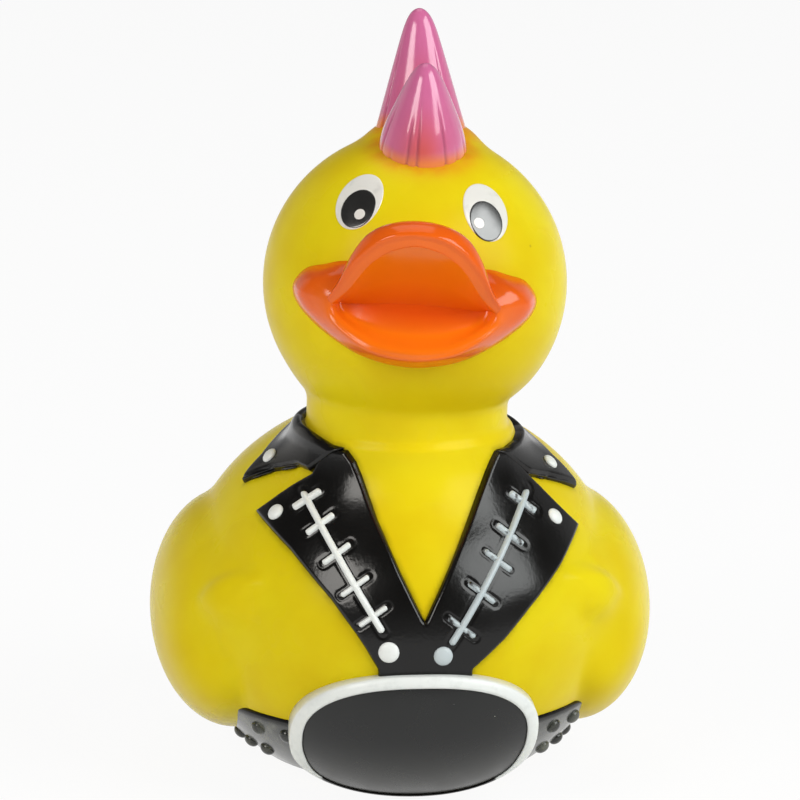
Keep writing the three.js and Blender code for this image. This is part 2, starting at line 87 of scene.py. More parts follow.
def hullField(points):
    # torso egg, pitched tail egg and the neck's wide foot, blended; the neck stands on that foot
    # with a small step
    torso = egg(points, form["bodyCentre"], form["bodyHalf"])
    away = turned(points - form["tailCentre"], "x", -np.radians(form["tailPitch"]))
    tail = egg(away, (0, 0, 0), form["tailHalf"])
    column = np.hypot(points[..., 0], points[..., 1] - form["neckY"]) - form["neckRadius"]
    floor = form["bodyCentre"][2] - points[..., 2]
    step = -soften(form["neckStep"] - column, form["stepHeight"] - points[..., 2], form["stepBlend"])
    chest = soften(soften(torso, tail, form["tailBlend"]), np.maximum(step, floor), form["neckBlend"])
    neck = np.maximum(column, np.maximum(floor, points[..., 2] - headCentre[2]))
    return soften(chest, neck, form["stepBlend"])


def mirrored(points):
    # both flanks at once: the distance from the middle stands in for the side
    sided = points.copy()
    sided[..., 0] = np.abs(points[..., 0])
    return sided


def wingField(points):
    # one egg on each flank, with a notch in its front edge below the hand
    sided = mirrored(points)
    apart = (sided - form["notchCentre"]) / form["notchHalf"]
    notch = form["notchDepth"] * np.exp(-np.sum(apart ** 2, axis=-1))
    return egg(sided, form["wingCentre"], form["wingHalf"]) + notch


def handRise(points):
    # a tilted oval pad on the flank, ahead of the wing: steep along its top, soft below, fading back
    # into the wing; also gives how wide the hollow between flank and wing is filled there
    away = turned(mirrored(points) - form["handCentre"], "z", -np.radians(form["handTurn"]))
    tilted = turned(away, "y", -np.radians(form["handTilt"]))
    along, out, up = tilted[..., 0], away[..., 1], tilted[..., 2]
    near = np.hypot(along / form["handHalf"][0], up / form["handHalf"][1])
    low, high = form["handEdge"]
    edge = low + (high - low) * smoothStep(up / 2 + 0.2)
    rise = smoothStep((form["handRim"] - near) / edge)
    fade = smoothStep((form["handFade"] - along) / form["handFade"])
    fade = fade * np.exp(-(out / form["handReach"]) ** 2)
    reach = np.linalg.norm(away, axis=-1) / form["filletReach"]
    return form["handRise"] * rise * fade, form["handFillet"] * np.exp(-reach ** 2)


def bodyField(points, grow=0.0, winged=True):
    # hull and wings grown outwards, then cut by the floor with a rounded edge
    shape = hullField(points)
    if winged:
        rise, fillet = handRise(points)
        shape = soften(shape, wingField(points), form["wingCrease"] + fillet) - rise
    return -soften(grow - shape, points[..., 2], form["baseRounding"])


def grown(grow, winged=True):
    # the body's field with its surface moved outwards
    return lambda points: bodyField(points, grow, winged)


def skinField(points):
    # the whole skin: body and head, joined on the neck with a small fillet
    return soften(bodyField(points), headField(points), form["headBlend"])


def headField(points):
    # the head ball with the mound that the crest grows from
    ball = np.linalg.norm(points - headCentre, axis=-1) - form["headRadius"]
    mound = egg(points, form["moundCentre"], form["moundHalf"])
    return soften(ball, mound, form["moundBlend"])


def leave(start, along, field, stride=1.2, reach=96):
    # first place along each ray where the field turns positive: march outwards, then halve the last stride
    start, along = np.broadcast_arrays(np.asarray(start, float), np.asarray(along, float))
    near = np.zeros(along.shape[:-1])
    far = np.full(along.shape[:-1], float(reach))
    found = np.zeros(along.shape[:-1], bool)
    for step in np.arange(stride, reach, stride):
        outside = field(start + along * step) > 0
        fresh = outside & ~found
        near[fresh] = step - stride
        far[fresh] = step
        found |= outside
        if found.all():
            break
    for halving in range(24):
        middle = (near + far) / 2
        outside = field(start + along * middle[..., None]) > 0
        far = np.where(outside, middle, far)
        near = np.where(outside, near, middle)
    return start + along * ((near + far) / 2)[..., None]


def unit(vectors):
    # vectors brought to length one
    return vectors / np.linalg.norm(vectors, axis=-1, keepdims=True)


def outwardAt(points, field, probe=0.05):
    # unit slope of the field by differences to either side
    return unit(np.stack([field(points + step) - field(points - step) for step in probe * np.eye(3)], -1))


def smoothStep(value):
    # from 0 to 1 with level ends: three squares less two cubes
    share = np.clip(value, 0, 1)
    return share * share * (3 - 2 * share)


def between(first, second, share):
    # the place a share of the way from the first to the second
    return first * (1 - share) + second * share


def spread(*values):
    # points whose coordinates are numbers or grids, spread over one common grid
    return np.stack(np.broadcast_arrays(*values), -1)


def ringOf(count):
    # even bearings once round
    return np.linspace(0, fullTurn, count, endpoint=False)


def levelAt(bearing):
    # level unit vectors at bearings counted from the front
    return spread(np.sin(bearing), -np.cos(bearing), 0.0)


def poseHead(points):
    # the head turns and leans on the neck, from nothing below the crown to its full angle above it
    pivot = np.array([0, form["neckY"], form["crown"]])
    rise = points[..., 2] - form["crown"] + form["poseLow"]
    share = smoothStep(rise / (form["poseLow"] + form["poseHigh"]))
    leaned = turned(points - pivot, "z", np.radians(form["headTurn"]) * share)
    return turned(leaned, "y", np.radians(form["headRoll"]) * share) + pivot


def through(nodes, params, samples, closed=False):
    # curve through nodes: Catmull-Rom between them, with each node at its own parameter
    nodes = np.asarray(nodes, float)
    if closed:
        padded = np.concatenate([nodes[-1:], nodes, nodes[:2]])
    else:
        padded = np.concatenate([2 * nodes[:1] - nodes[1:2], nodes, 2 * nodes[-1:] - nodes[-2:-1]])
    position = np.interp(samples, params, np.arange(len(params)))
    index = np.minimum(position.astype(int), len(params) - 2)
    t = (position - index)[:, None] if nodes.ndim == 2 else (position - index)[:, None, None]
    a, b, c, d = (padded[index + k] for k in range(4))
    curve = 2 * b + (c - a) * t + (2 * a - 5 * b + 4 * c - d) * t ** 2
    return 0.5 * (curve + (3 * b - a - 3 * c + d) * t ** 3)


def gridFaces(rows, columns, wrapRows, wrapColumns):
    # quads between neighbouring points of a grid, closed on itself where it wraps
    index = np.arange(rows * columns).reshape(rows, columns)
    if wrapRows:
        index = np.concatenate([index, index[:1]])
    if wrapColumns:
        index = np.concatenate([index, index[:, :1]], axis=1)
    corners = (index[:-1, :-1], index[1:, :-1], index[1:, 1:], index[:-1, 1:])
    return np.stack(corners, -1).reshape(-1, 4)


def part(points, wrapRows=False, wrapColumns=False, startPole=None, endPole=None, **marks):
    # one grid of a piece: its points, faces, end points with their fans, and values on its points
    rows, columns = points.shape[:2]
    faces = gridFaces(rows, columns, wrapRows, wrapColumns)
    flat = points.reshape(-1, 3)
    values = {label: np.broadcast_to(value, (rows, columns)).reshape(-1) for label, value in marks.items()}
    ring = np.arange(columns)
    for pole, base, order in ((startPole, 0, 1), (endPole, (rows - 1) * columns, -1)):
        if pole is None:
            continue
        tip = np.full(columns, len(flat))
        around = np.stack([base + ring, base + np.roll(ring, -1)][::order], -1)
        fan = np.column_stack([tip, around, around[:, 1]])
        faces = np.concatenate([faces, fan])
        flat = np.concatenate([flat, np.reshape(pole, (1, 3))])
        ends = {label: value[base:base + columns].mean() for label, value in values.items()}
        values = {label: np.append(value, ends[label]) for label, value in values.items()}
    return flat, faces, values


def outwards(points, faces):
    # the faces of a grid, turned over if they look towards the body's heart on the whole
    corners = points[faces]
    spread = np.cross(corners[:, 2] - corners[:, 0], corners[:, 3] - corners[:, 1])
    inward = np.sum(spread * (corners.mean(axis=1) - bodyHeart)) < 0
    return faces[:, ::-1] if inward else faces


def linked(name, data):
    # a new object in the scene, at the origin
    made = bpy.data.objects.new(name, data)
    bpy.context.collection.objects.link(made)
    return made


def finishPiece(name, parts, material, thickness=0.0, weld=False):
    # joins the grids of a piece into one mesh in metres, faces outwards, and ties it to the frame
    starts = np.cumsum([0] + [len(points) for points, faces, values in parts])[:-1]
    points = poseHead(np.concatenate([points for points, faces, values in parts]))
    faces = np.concatenate([outwards(*grid[:2]) + start for start, grid in zip(starts, parts)])
    isTriangle = (faces[:, 2] == faces[:, 3]) | (faces[:, 0] == faces[:, 1])
    sides = np.where(isTriangle, 3, 4)
    keep = np.ones(faces.shape, bool)
    keep[faces[:, 2] == faces[:, 3], 3] = False
    keep[faces[:, 0] == faces[:, 1], 0] = False
    mesh = bpy.data.meshes.new(name)
    mesh.vertices.add(len(points))
    mesh.vertices.foreach_set("co", (points * mm).ravel())
    mesh.loops.add(int(sides.sum()))
    mesh.loops.foreach_set("vertex_index", faces[keep].astype(np.int32))
    mesh.polygons.add(len(faces))
    mesh.polygons.foreach_set("loop_start", np.concatenate([[0], np.cumsum(sides)[:-1]]).astype(np.int32))
    mesh.polygons.foreach_set("use_smooth", np.ones(len(faces), bool))
    for label in parts[0][2]:
        layer = mesh.attributes.new(label, "FLOAT", "POINT")
        layer.data.foreach_set("value", np.concatenate([values[label] for *rest, values in parts]))
    mesh.update(calc_edges=True)
    mesh.validate()
    mesh.materials.append(material)
    piece = linked(name, mesh)
    if weld:
        piece.modifiers.new("weld", "WELD").merge_threshold = 0.01 * mm
    if thickness:
        wall = piece.modifiers.new("wall", "SOLIDIFY")
        wall.thickness = thickness * mm
        wall.offset = -1
    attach(piece, "root")
    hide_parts("duck")
    print("piece", name, len(points), "points", len(faces), "faces")


# Shader helpers
def linear(red, green, blue):
    # sRGB values from 0 to 255 as linear light
    share = np.array([red, green, blue]) / 255
    light = np.where(share <= 0.04045, share / 12.92, ((share + 0.055) / 1.055) ** 2.4)
    return (*light.tolist(), 1.0)


def place(tree, kind, values=None, **settings):
    # a new node: its settings, then its inputs, each given a value or wired to a socket
    made = tree.nodes.new(kind)
    for name, value in settings.items():
        setattr(made, name, value)
    for name, value in (values or {}).items():
        socket = made.inputs[name]
        if isinstance(value, bpy.types.NodeSocket):
            tree.links.new(value, socket)
        else:
            socket.default_value = value
    return made


def mathOf(tree, operation, first, second):
    # two values put together by one operation
    return place(tree, "ShaderNodeMath", {0: first, 1: second}, operation=operation).outputs[0]


def timesOf(tree, first, second):
    # the product of two values
    return mathOf(tree, "MULTIPLY", first, second)


def mixOf(tree, share, first, second):
    # the second colour laid over the first by a share
    return place(tree, "ShaderNodeMix", {0: share, 6: first, 7: second}, data_type="RGBA").outputs[2]


def rangeOf(tree, value, low, high, toLow=0.0, toHigh=1.0):
    # a value eased from one range into another
    values = {"Value": value, "From Min": low, "From Max": high, "To Min": toLow, "To Max": toHigh}
    return place(tree, "ShaderNodeMapRange", values, interpolation_type="SMOOTHSTEP").outputs[0]


def noiseOf(tree, where, scale, detail):
    # cloudy noise between 0 and 1
    values = {"Vector": where, "Scale": scale, "Detail": detail}
    return place(tree, "ShaderNodeTexNoise", values).outputs["Fac"]


def mark(tree, name):
    # a value stored on the piece's points
    return place(tree, "ShaderNodeAttribute", attribute_name=name).outputs["Fac"]


def mouldSurface():
    # grain: fine orange peel, broad mottle, and sparse specks of dust, as one node group
    group = bpy.data.node_groups.new("mouldSurface", "ShaderNodeTree")
    group.interface.new_socket("Vector", in_out="INPUT", socket_type="NodeSocketVector")
    for title, scale in (("Peel Scale", 1500.0), ("Mottle Scale", 70.0), ("Speck Scale", 260.0)):
        socket = group.interface.new_socket(title, in_out="INPUT", socket_type="NodeSocketFloat")
        socket.default_value = scale
    for title in ("Peel", "Mottle", "Specks"):
        group.interface.new_socket(title, in_out="OUTPUT", socket_type="NodeSocketFloat")
    takes = group.nodes.new("NodeGroupInput").outputs
    gives = group.nodes.new("NodeGroupOutput").inputs
    where = takes["Vector"]
    cells = place(group, "ShaderNodeTexVoronoi", {"Vector": where, "Scale": takes["Speck Scale"]}).outputs
    chance = place(group, "ShaderNodeSeparateColor", {"Color": cells["Color"]}).outputs[0]
    picked = mathOf(group, "GREATER_THAN", chance, 0.96)
    dot = rangeOf(group, cells["Distance"], 0.03, 0.06, 1.0, 0.0)
    group.links.new(noiseOf(group, where, takes["Peel Scale"], 3.0), gives["Peel"])
    group.links.new(noiseOf(group, where, takes["Mottle Scale"], 4.0), gives["Mottle"])
    group.links.new(timesOf(group, dot, picked), gives["Specks"])
    return group


surfaceGroup = mouldSurface()


def makePaint(name, look, colourOf):
    # a material on Object coordinates: its colour as colourOf mixes it, a roughness that follows
    # the mottle, a bump of orange peel, and the look's fixed values
    material = bpy.data.materials.new(name)
    material.use_nodes = True
    tree = material.node_tree
    shader = tree.nodes["Principled BSDF"]
    where = place(tree, "ShaderNodeTexCoord").outputs["Object"]
    scales = dict(zip(("Peel Scale", "Mottle Scale", "Speck Scale"), look["grain"]))
    grain = place(tree, "ShaderNodeGroup", {"Vector": where, **scales}, node_tree=surfaceGroup).outputs
    rough = rangeOf(tree, grain["Mottle"], 0.3, 0.7, *look["roughness"])
    strength, distance = look["bump"]
    peel = {"Height": grain["Peel"], "Strength": strength, "Distance": distance * mm}
    bump = place(tree, "ShaderNodeBump", peel).outputs[0]
    wires = {"Base Color": colourOf(tree, grain, where), "Roughness": rough, "Normal": bump}
    for title, source in wires.items():
        tree.links.new(source, shader.inputs[title])
    for title, value in look.get("fixed", {}).items():
        shader.inputs[title].default_value = value
    print("material", name)
    return material


yellowLook = {
    "bright": linear(231, 211, 24), "deep": linear(223, 196, 16), "haze": linear(226, 120, 30),
    "dust": linear(150, 110, 40), "spray": linear(52, 30, 8), "dustShare": 0.4,
    "grain": (1200.0, 55.0, 190.0), "roughness": (0.24, 0.32), "bump": (0.06, 0.05),
    "fixed": {"Specular IOR Level": 0.07, "Subsurface Weight": 0.12, "Subsurface Radius": (1.0, 0.7, 0.15),
              "Subsurface Scale": 1.2 * mm},
}


def yellowVinyl(tree, grain, where):
    # soft vinyl: mottled yellow, orange drift round the crest, dark drift round the jacket, dust specks
    look = yellowLook
    toned = mixOf(tree, rangeOf(tree, grain["Mottle"], 0.35, 0.68), look["bright"], look["deep"])
    drift = noiseOf(tree, where, 420.0, 5.0)
    haze = timesOf(tree, mark(tree, "crestHaze"), rangeOf(tree, drift, 0.25, 0.7, 0.45, 1.0))
    hazed = mixOf(tree, haze, toned, look["haze"])
    spray = timesOf(tree, mark(tree, "jacketHaze"), rangeOf(tree, drift, 0.3, 0.65, 0.35, 1.0))
    sprayed = mixOf(tree, spray, hazed, look["spray"])
    return mixOf(tree, timesOf(tree, grain["Specks"], look["dustShare"]), sprayed, look["dust"])


yellow = makePaint("yellowVinyl", yellowLook, yellowVinyl)

skinLook = {
    "turns": 300, "headRows": 110, "bodyRows": 170, "ringHeight": 53.8, "hazeShare": 0.7, "hazeWidth": 1.5,
    "sprayShare": 0.4, "sprayWidth": 0.45, "unsprayed": 9.0, "chest": (10, 54),
}

spikeLook = {
    "sink": 5, "rows": 90, "turns": 240, "crowding": 1.5, "tipLength": 1.2, "waistBlend": 1.6,
    "strandDepth": 0.2, "strandWidth": 2.1, "strandStart": (0.45, 0.3, 7.3), "strandFade": 0.35,
    "blushWidth": 28, "blushStart": 0.2, "blushFade": 0.55,
    "front": {"back": -13, "rise": 11.1, "blunt": 1.5, "slope": 0.42, "lean": 1, "widest": 6.3,
              "depth": (1.16, 0.86), "strands": (-68, -46, -20, -7, 17, 33, 52, 75, 118, 160, 205, 246)},
    "tall": {"back": 6, "rise": 16.6, "blunt": 1.55, "slope": 0.285, "lean": 4.2, "widest": 12,
             "depth": (0.86, 0.86), "strands": (-95, -60, -34, 22, 41, 63, 88, 130, 175, 214, 240)},
    "rear": {"back": 25, "rise": 8, "blunt": 1.4, "slope": 0.44, "lean": 2, "widest": 6.4,
             "depth": (0.86, 0.86), "strands": (-80, -40, 30, 70, 105, 132, 155, 180, 204, 230, 252)},
}
spikeNames = ("front", "tall", "rear")


def spikeRadius(spike, drop):
    # straight taper below a rounded tip: slope times the drop, plus a blunt part that soon levels out
    levelled = np.sqrt(1 - np.exp(-np.maximum(drop, 0) / spikeLook["tipLength"]))
    taper = spike["slope"] * drop + spike["blunt"] * levelled
    return soften(taper, spike["widest"], spikeLook["waistBlend"])


def toSpike(spike, points):
    # places points given about a spike's own axis, with the head's centre as origin, onto the head
    rise = points[..., 2:] - form["headRadius"] + spikeLook["sink"]
    leaned = points - rise * np.array([np.tan(np.radians(spike["lean"])), 0, 0])
    return turned(leaned, "x", -np.radians(spike["back"])) + headCentre


def spikeGap(spike, points):
    # how far a point lies outside a spike, measured across the spike's axis
    local = turned(points - headCentre, "x", np.radians(spike["back"]))
    drop = form["headRadius"] + spike["rise"] - local[..., 2]
    away = np.hypot(local[..., 0], local[..., 1] / np.where(local[..., 1] < 0, *spike["depth"]))
    return away - spikeRadius(spike, drop)


def makeSkin():
    # two charts of rays, from the head's centre and from the body's heart, that share one ring on the neck
    look = skinLook
    axis = np.array([0, form["neckY"], look["ringHeight"]])
    ring = leave(axis, levelAt(ringOf(look["turns"])), skinField)

    def fan(centre, pole, rows):
        # rays swung evenly from the pole's direction to the ring's
        toRing = unit(ring - centre)
        swing = np.arccos(np.clip(toRing @ pole, -1, 1))
        share = np.linspace(0, 1, rows + 1)[1:-1, None]
        upper = np.sin((1 - share) * swing)[..., None] * pole
        return leave(centre, unit(upper + np.sin(share * swing)[..., None] * toRing), skinField)

    headRows = fan(headCentre, upward, look["headRows"])
    bodyRows = fan(bodyHeart, -upward, look["bodyRows"])[::-1]
    points = np.concatenate([headRows, ring[None], bodyRows])
    height = points[..., 2]
    gaps = np.min([spikeGap(spikeLook[name], points) for name in spikeNames], axis=0)
    haze = look["hazeShare"] * np.exp(-(np.maximum(gaps, 0) / look["hazeWidth"]) ** 2)
    haze = haze * (height > headCentre[2])
    low, high = look["chest"]
    chest = (height > low) & (height < high)
    away = np.full(height.shape, look["unsprayed"])
    away[chest] = toBorder(points[chest], jacketBorder)
    spray = look["sprayShare"] * np.exp(-(away / look["sprayWidth"]) ** 2)
    top = leave(headCentre, upward, skinField)
    bottom = leave(bodyHeart, -upward, skinField)
    skin = part(points, wrapColumns=True, startPole=top, endPole=bottom, crestHaze=haze, jacketHaze=spray)
    finishPiece("skin", [skin], yellow)


crestLook = {
    "top": linear(208, 108, 155), "low": linear(208, 106, 150), "foot": linear(210, 84, 72),
    # the groove colour is painted shade, laid into the strand grooves
    "groove": linear(140, 48, 84), "edge": linear(228, 124, 34), "grooveShadeShare": 0.45,
    "grain": (1300.0, 180.0, 420.0), "roughness": (0.12, 0.2), "bump": (0.08, 0.05),
    "fixed": {"Coat Weight": 0.4, "Coat Roughness": 0.1},
}


def crestPaint(tree, grain, where):
    # pink spray: paler upwards, orange-red drift at the foot, and painted shade in the strand grooves
    look = crestLook
    toned = mixOf(tree, rangeOf(tree, mark(tree, "height"), 0.15, 0.95), look["low"], look["top"])
    reddened = mixOf(tree, mark(tree, "blush"), toned, look["foot"])
    drift = mathOf(tree, "ADD", mark(tree, "foot"), timesOf(tree, grain["Mottle"], 0.8))
    edged = mixOf(tree, rangeOf(tree, drift, 0.45, 2.0, 1.0, 0.0), reddened, look["edge"])
    return mixOf(tree, timesOf(tree, mark(tree, "groove"), look["grooveShadeShare"]), edged, look["groove"])


pink = makePaint("crestPaint", crestLook, crestPaint)


def makeSpike(name):
    # rings about a leaning axis: radius from the taper, less narrow grooves that fade towards the tip
    look = spikeLook
    spike = look[name]
    top = form["headRadius"] + spike["rise"]
    share = np.linspace(0, 1, look["rows"] + 1)[1:, None] ** look["crowding"]
    around = ringOf(look["turns"])[None]
    drop = share * (spike["rise"] + look["sink"])
    bearings = np.radians(np.array(spike["strands"]))
    apart = np.angle(np.exp(1j * (around[..., None] - bearings)))
    start, uneven, pace = look["strandStart"]
    begins = start + uneven * np.sin(pace * bearings)
    grooves = np.exp(-(apart / np.radians(look["strandWidth"])) ** 2)
    grooves = grooves * smoothStep((share[..., None] - begins) / look["strandFade"])
    groove = grooves.max(axis=-1)
    radius = spikeRadius(spike, drop) - look["strandDepth"] * groove
    depth = radius * np.where(np.cos(around) > 0, *spike["depth"])
    fore = np.angle(np.exp(1j * around)) / np.radians(look["blushWidth"])
    blush = np.exp(-fore ** 2) * smoothStep((share - look["blushStart"]) / look["blushFade"])
    placed = toSpike(spike, spread(np.sin(around) * radius, -np.cos(around) * depth, top - drop))
    tip = toSpike(spike, top * upward)
    root = toSpike(spike, (form["headRadius"] - look["sink"]) * upward)
    # the groove mark also darkens the paint there, as painted shade
    sheet = part(placed, wrapColumns=True, startPole=tip, endPole=root, height=1 - drop / spike["rise"],
                 groove=groove, blush=blush, foot=headField(placed))
    finishPiece("crest_" + name, [sheet], pink)


for spikeName in spikeNames:
    makeSpike(spikeName)

billLook = {
    "turns": 240, "rows": 100, "insideDepth": 10, "mouthHeight": 1.3,
    # lower bill with its cheeks, right half from top to bottom about the head's centre: across, forward, up
    "root": ((0, 5), (5, 5.4), (9.3, 5.5), (12.3, 4.6), (14.8, 3.5), (16.3, 0.9), (15, -1.9), (10.8, -4.9),
             (5.8, -7), (0, -7.7)),
    "rim": ((0, 20.4, 2.2), (5, 20.4, 2.2), (8.2, 21.4, 3), (9.8, 22.4, 2.6), (10.8, 22.9, 1.7),
            (11.4, 22.9, 0.5), (10.8, 23.4, -1.1), (8.3, 25, -3), (4.9, 26.5, -4.6), (0, 27.3, -5.2)),
    "creaseHalfWidth": 9.8, "creaseDepth": 21.9, "creaseBow": 1.2, "creaseLift": 0.25, "rootSink": 0.2,
    "cheekBulge": 1.9, "cheekFore": 0.9, "cheekShare": 0.8, "lipBulge": 1.0, "lipFade": 0.75,
    "lipRim": 0.85, "dishDepth": 1.1, "dishShare": 0.45, "heelDepth": 0.3, "heelShare": 0.82,
    # upper bill, right half from its top to its foot: across, forward, up
    "archTurns": 180, "archColumns": 110, "hump": 1.45, "palateHollow": 0.1, "corner": 0.5,
    "archRoot": ((0, 17.5, 9.8), (3, 17.5, 9.3), (5.4, 17.7, 8), (7.5, 18, 5.8), (9.2, 18.2, 4.2),
                 (10.7, 18.2, 2.6), (11.8, 18, 0.8)),
    "archOut": ((0, 28.8, 11.6), (3.1, 28.6, 11.2), (5.6, 28, 9.9), (7.9, 27, 7.6), (9.3, 26, 5.5),
                (10.2, 24.9, 3.5), (11.5, 23.2, 1.3)),
    "archIn": ((0, 28.6, 9.7), (3, 28.2, 9), (5, 27.6, 7.8), (6.6, 26.8, 6.2), (8.2, 25.4, 3.75),
               (9.5, 24, 1.9), (11, 22.8, 0.3)),
    "crease": ((0, 20, -1), (2.9, 20, -1), (5.1, 19.9, -1), (6.9, 19.8, -1), (8.7, 19.6, -0.9),
               (9.9, 19.4, -0.7), (10.6, 19.2, -0.7)),
    # light is a painted reflection for the rim bands; deep is deeper paint with painted shade for the
    # crease
    "light": linear(238, 108, 26), "mid": linear(232, 92, 8), "deep": linear(224, 80, 4),
    # dish is painted light, for the lit dish and the shaded palate
    "dish": linear(244, 118, 14),
    "grain": (1100.0, 120.0, 380.0), "roughness": (0.13, 0.2), "bump": (0.07, 0.05),
    "fixed": {"Specular IOR Level": 0.36},
}


def billPaint(tree, grain, where):
    # sprayed orange, with painted reflection lighter on the rims, painted light in the dish and palate, and
    # deeper paint plus painted shade towards the crease
    outer = mixOf(tree, mark(tree, "band"), billLook["mid"], billLook["light"])
    lit = mixOf(tree, mark(tree, "dish"), outer, billLook["dish"])
    return mixOf(tree, mark(tree, "inside"), lit, billLook["deep"])


orange = makePaint("billPaint", billLook, billPaint)


def aboutHead(nodes):
    # right-half nodes given as across, forward, up, turned into points about the head's centre
    return np.array(nodes, float) * np.array([1, -1, 1])


def makeLowerBill():
    # a profile carried round the mouth: out of the head, over the cheek or lip, and down to the crease
    look = billLook
    around = ringOf(look["turns"])

    def loop(right):
        # the right half and its mirror image as one closed curve
        nodes = np.concatenate([right, right[1:-1][::-1] * flip])
        return through(nodes, np.arange(len(nodes) + 1) / len(nodes), around / fullTurn, closed=True)

    flat = np.array(look["root"], float)
    outOfHead = np.sqrt(form["headRadius"] ** 2 - flat[:, 0] ** 2 - flat[:, 1] ** 2) - look["rootSink"]
    root = loop(spread(flat[:, 0], -outOfHead, flat[:, 1]))
    rim = loop(aboutHead(look["rim"]))
    rise = np.cos(around)[:, None]
    lip = smoothStep(-rise / look["lipFade"])
    mouth = np.array([0, -look["creaseDepth"], look["mouthHeight"]])
    outward = unit((rim - mouth) * flatten)
    radius = look["lipRim"]
    aside = np.abs(np.sin(around))[:, None] ** 1.5
    bulge = outward * (look["cheekBulge"] * (1 - lip) * aside + look["lipBulge"] * lip)
    bulge = bulge - look["cheekFore"] * (1 - lip) * backward
    cheek = between(root, rim, look["cheekShare"]) + 0.64 * bulge
    over = between(cheek, rim + radius * (outward + 0.6 * backward), lip)
    crease = look["creaseHalfWidth"] * np.sin(around)[:, None] * np.array([1, 0, 0]) + mouth
    crease = crease + (1 - rise ** 2 + np.maximum(rise, 0)) * look["creaseBow"] * backward
    crease = crease + look["creaseLift"] * upward * rise
    lipIn = rim - outward * radius + 0.5 * radius * backward
    sunk = lip * unit(np.array([0, 0.6, -1.0]))
    dish = between(lipIn, crease, look["dishShare"]) + look["dishDepth"] * sunk
    heel = between(lipIn, crease, look["heelShare"]) + look["heelDepth"] * sunk
    inside = np.array([0, -look["insideDepth"], look["mouthHeight"]])
    stations = np.stack([between(inside, root, 0.8), root, (root + rim) / 2 + bulge,
                         over, rim, lipIn, dish, heel, crease])
    params = np.linspace(0, 1, len(stations))
    share = np.linspace(0, 1, look["rows"])
    points = through(stations, params, share) + headCentre
    # inside mark: deeper paint and painted shade towards the crease
    creaseToneAndShade = np.interp(share, params, (0, 0, 0, 0, 0, 0, 0, 1, 1))[:, None]
    # dish mark: painted light in the dish, where more light reaches
    dishLight = np.interp(share, params, (0, 0, 0, 0.3, 0.5, 0.9, 1, 0.2, 0))[:, None] * lip[:, 0]
    # band mark: painted reflection along the lip's rim
    band = np.interp(share, params, (0, 0, 0, 0.5, 1, 0.4, 0, 0, 0))[:, None]
    return part(points, wrapColumns=True, startPole=inside + headCentre, endPole=mouth + headCentre,
                inside=creaseToneAndShade, band=band, dish=dishLight)


def makeUpperBill():
    # a thick visor: a closed profile of top, front band, palate and hidden back, carried over the arch
    look = billLook
    sweep = np.linspace(0, 1, look["archTurns"])

    def arch(nodes):
        # the right half and its mirror image as one open curve
        right = aboutHead(nodes)
        whole = np.concatenate([right[:0:-1] * flip, right])
        return through(whole, np.linspace(0, 1, len(whole)), sweep)

    root, outer, inner, crease = (arch(look[name]) for name in ("archRoot", "archOut", "archIn", "crease"))
    toInner, toCrease = unit(inner - outer), unit(crease - inner)
    hollow = unit(np.array([0, 0.78, 0.63]))
    corner = look["corner"]
    away = unit((outer - upward) * flatten)
    raised = look["hump"] * smoothStep((outer[:, 2:] - 3.5) / 7) * away
    stations = np.stack([
        root, (root + outer) / 2 + raised, between(root, outer, 0.8) + raised, outer,
        (outer + inner) / 2, inner - corner * toInner, inner + 0.15 * corner * (toCrease - toInner),
        inner + corner * toCrease, (inner + crease) / 2 + look["palateHollow"] * hollow, crease,
        (root + crease) / 2 + 3 * backward])
    params = np.arange(len(stations) + 1) / len(stations)
    share = np.linspace(0, 1, look["archColumns"], endpoint=False)
    points = through(stations, params, share, closed=True).transpose(1, 0, 2) + headCentre
    # inside mark: deeper paint and painted shade at the crease
    creaseToneAndShade = np.interp(share, params, (0, 0, 0, 0, 0, 0, 0, 0, 0.1, 1, 1, 0))[None]
    # band mark: painted reflection along the front band
    band = np.interp(share, params, (0, 0, 0, 0.3, 1, 1, 0.7, 0.2, 0, 0, 0, 0))[None]
    # dish mark: painted light on the shaded palate
    palateLight = np.interp(share, params, (0, 0, 0, 0, 0, 0, 0.4, 1, 0.8, 0, 0, 0))[None]
    return part(points, wrapColumns=True, startPole=points[0].mean(axis=0), endPole=points[-1].mean(axis=0),
                inside=creaseToneAndShade, band=band, dish=palateLight)


finishPiece("bill_lower", [makeLowerBill()], orange)
finishPiece("bill_upper", [makeUpperBill()], orange)


def crowd(count):
    # shares from 0 to 1 that crowd towards both ends
    return 0.5 - 0.5 * np.cos(np.linspace(0, np.pi, count))


def toBorder(points, border):
    # shortest distance from each point to a border given by close points
    flat = points.reshape(-1, 3)
    nearest = [np.min(np.linalg.norm(block[:, None] - border[None], axis=-1), axis=1)
               for block in np.array_split(flat, max(1, len(flat) // 400))]
    return np.concatenate(nearest).reshape(points.shape[:-1])


def quarterRound(away, rounding, step, sink):
    # height by the distance from a border: a quarter round from just under the skin up to the step
    share = np.clip(away / rounding, 0, 1)
    return (step + sink) * np.sqrt(1 - (1 - share) ** 2) - sink


def pressed(base, border, step, rounding, sink, field):
    # a sheet raised off the skin, rounded down to just under it at its border
    away = toBorder(base, border)
    rise = quarterRound(away, rounding, step, sink)
    return base + outwardAt(base, field) * rise[..., None], away


def frontSkin(across, height, grow=0.0):
    # points of the chest straight ahead of a front view's across and height
    return leave(spread(across, form["neckY"], height), -backward, grown(grow))


blackLook = {
    "base": linear(10, 9, 8), "worn": linear(40, 34, 30), "speckShare": 0.6,
    "grain": (2100.0, 160.0, 420.0), "roughness": (0.15, 0.23), "bump": (0.3, 0.06),
    "fixed": {"Specular IOR Level": 0.38},
}


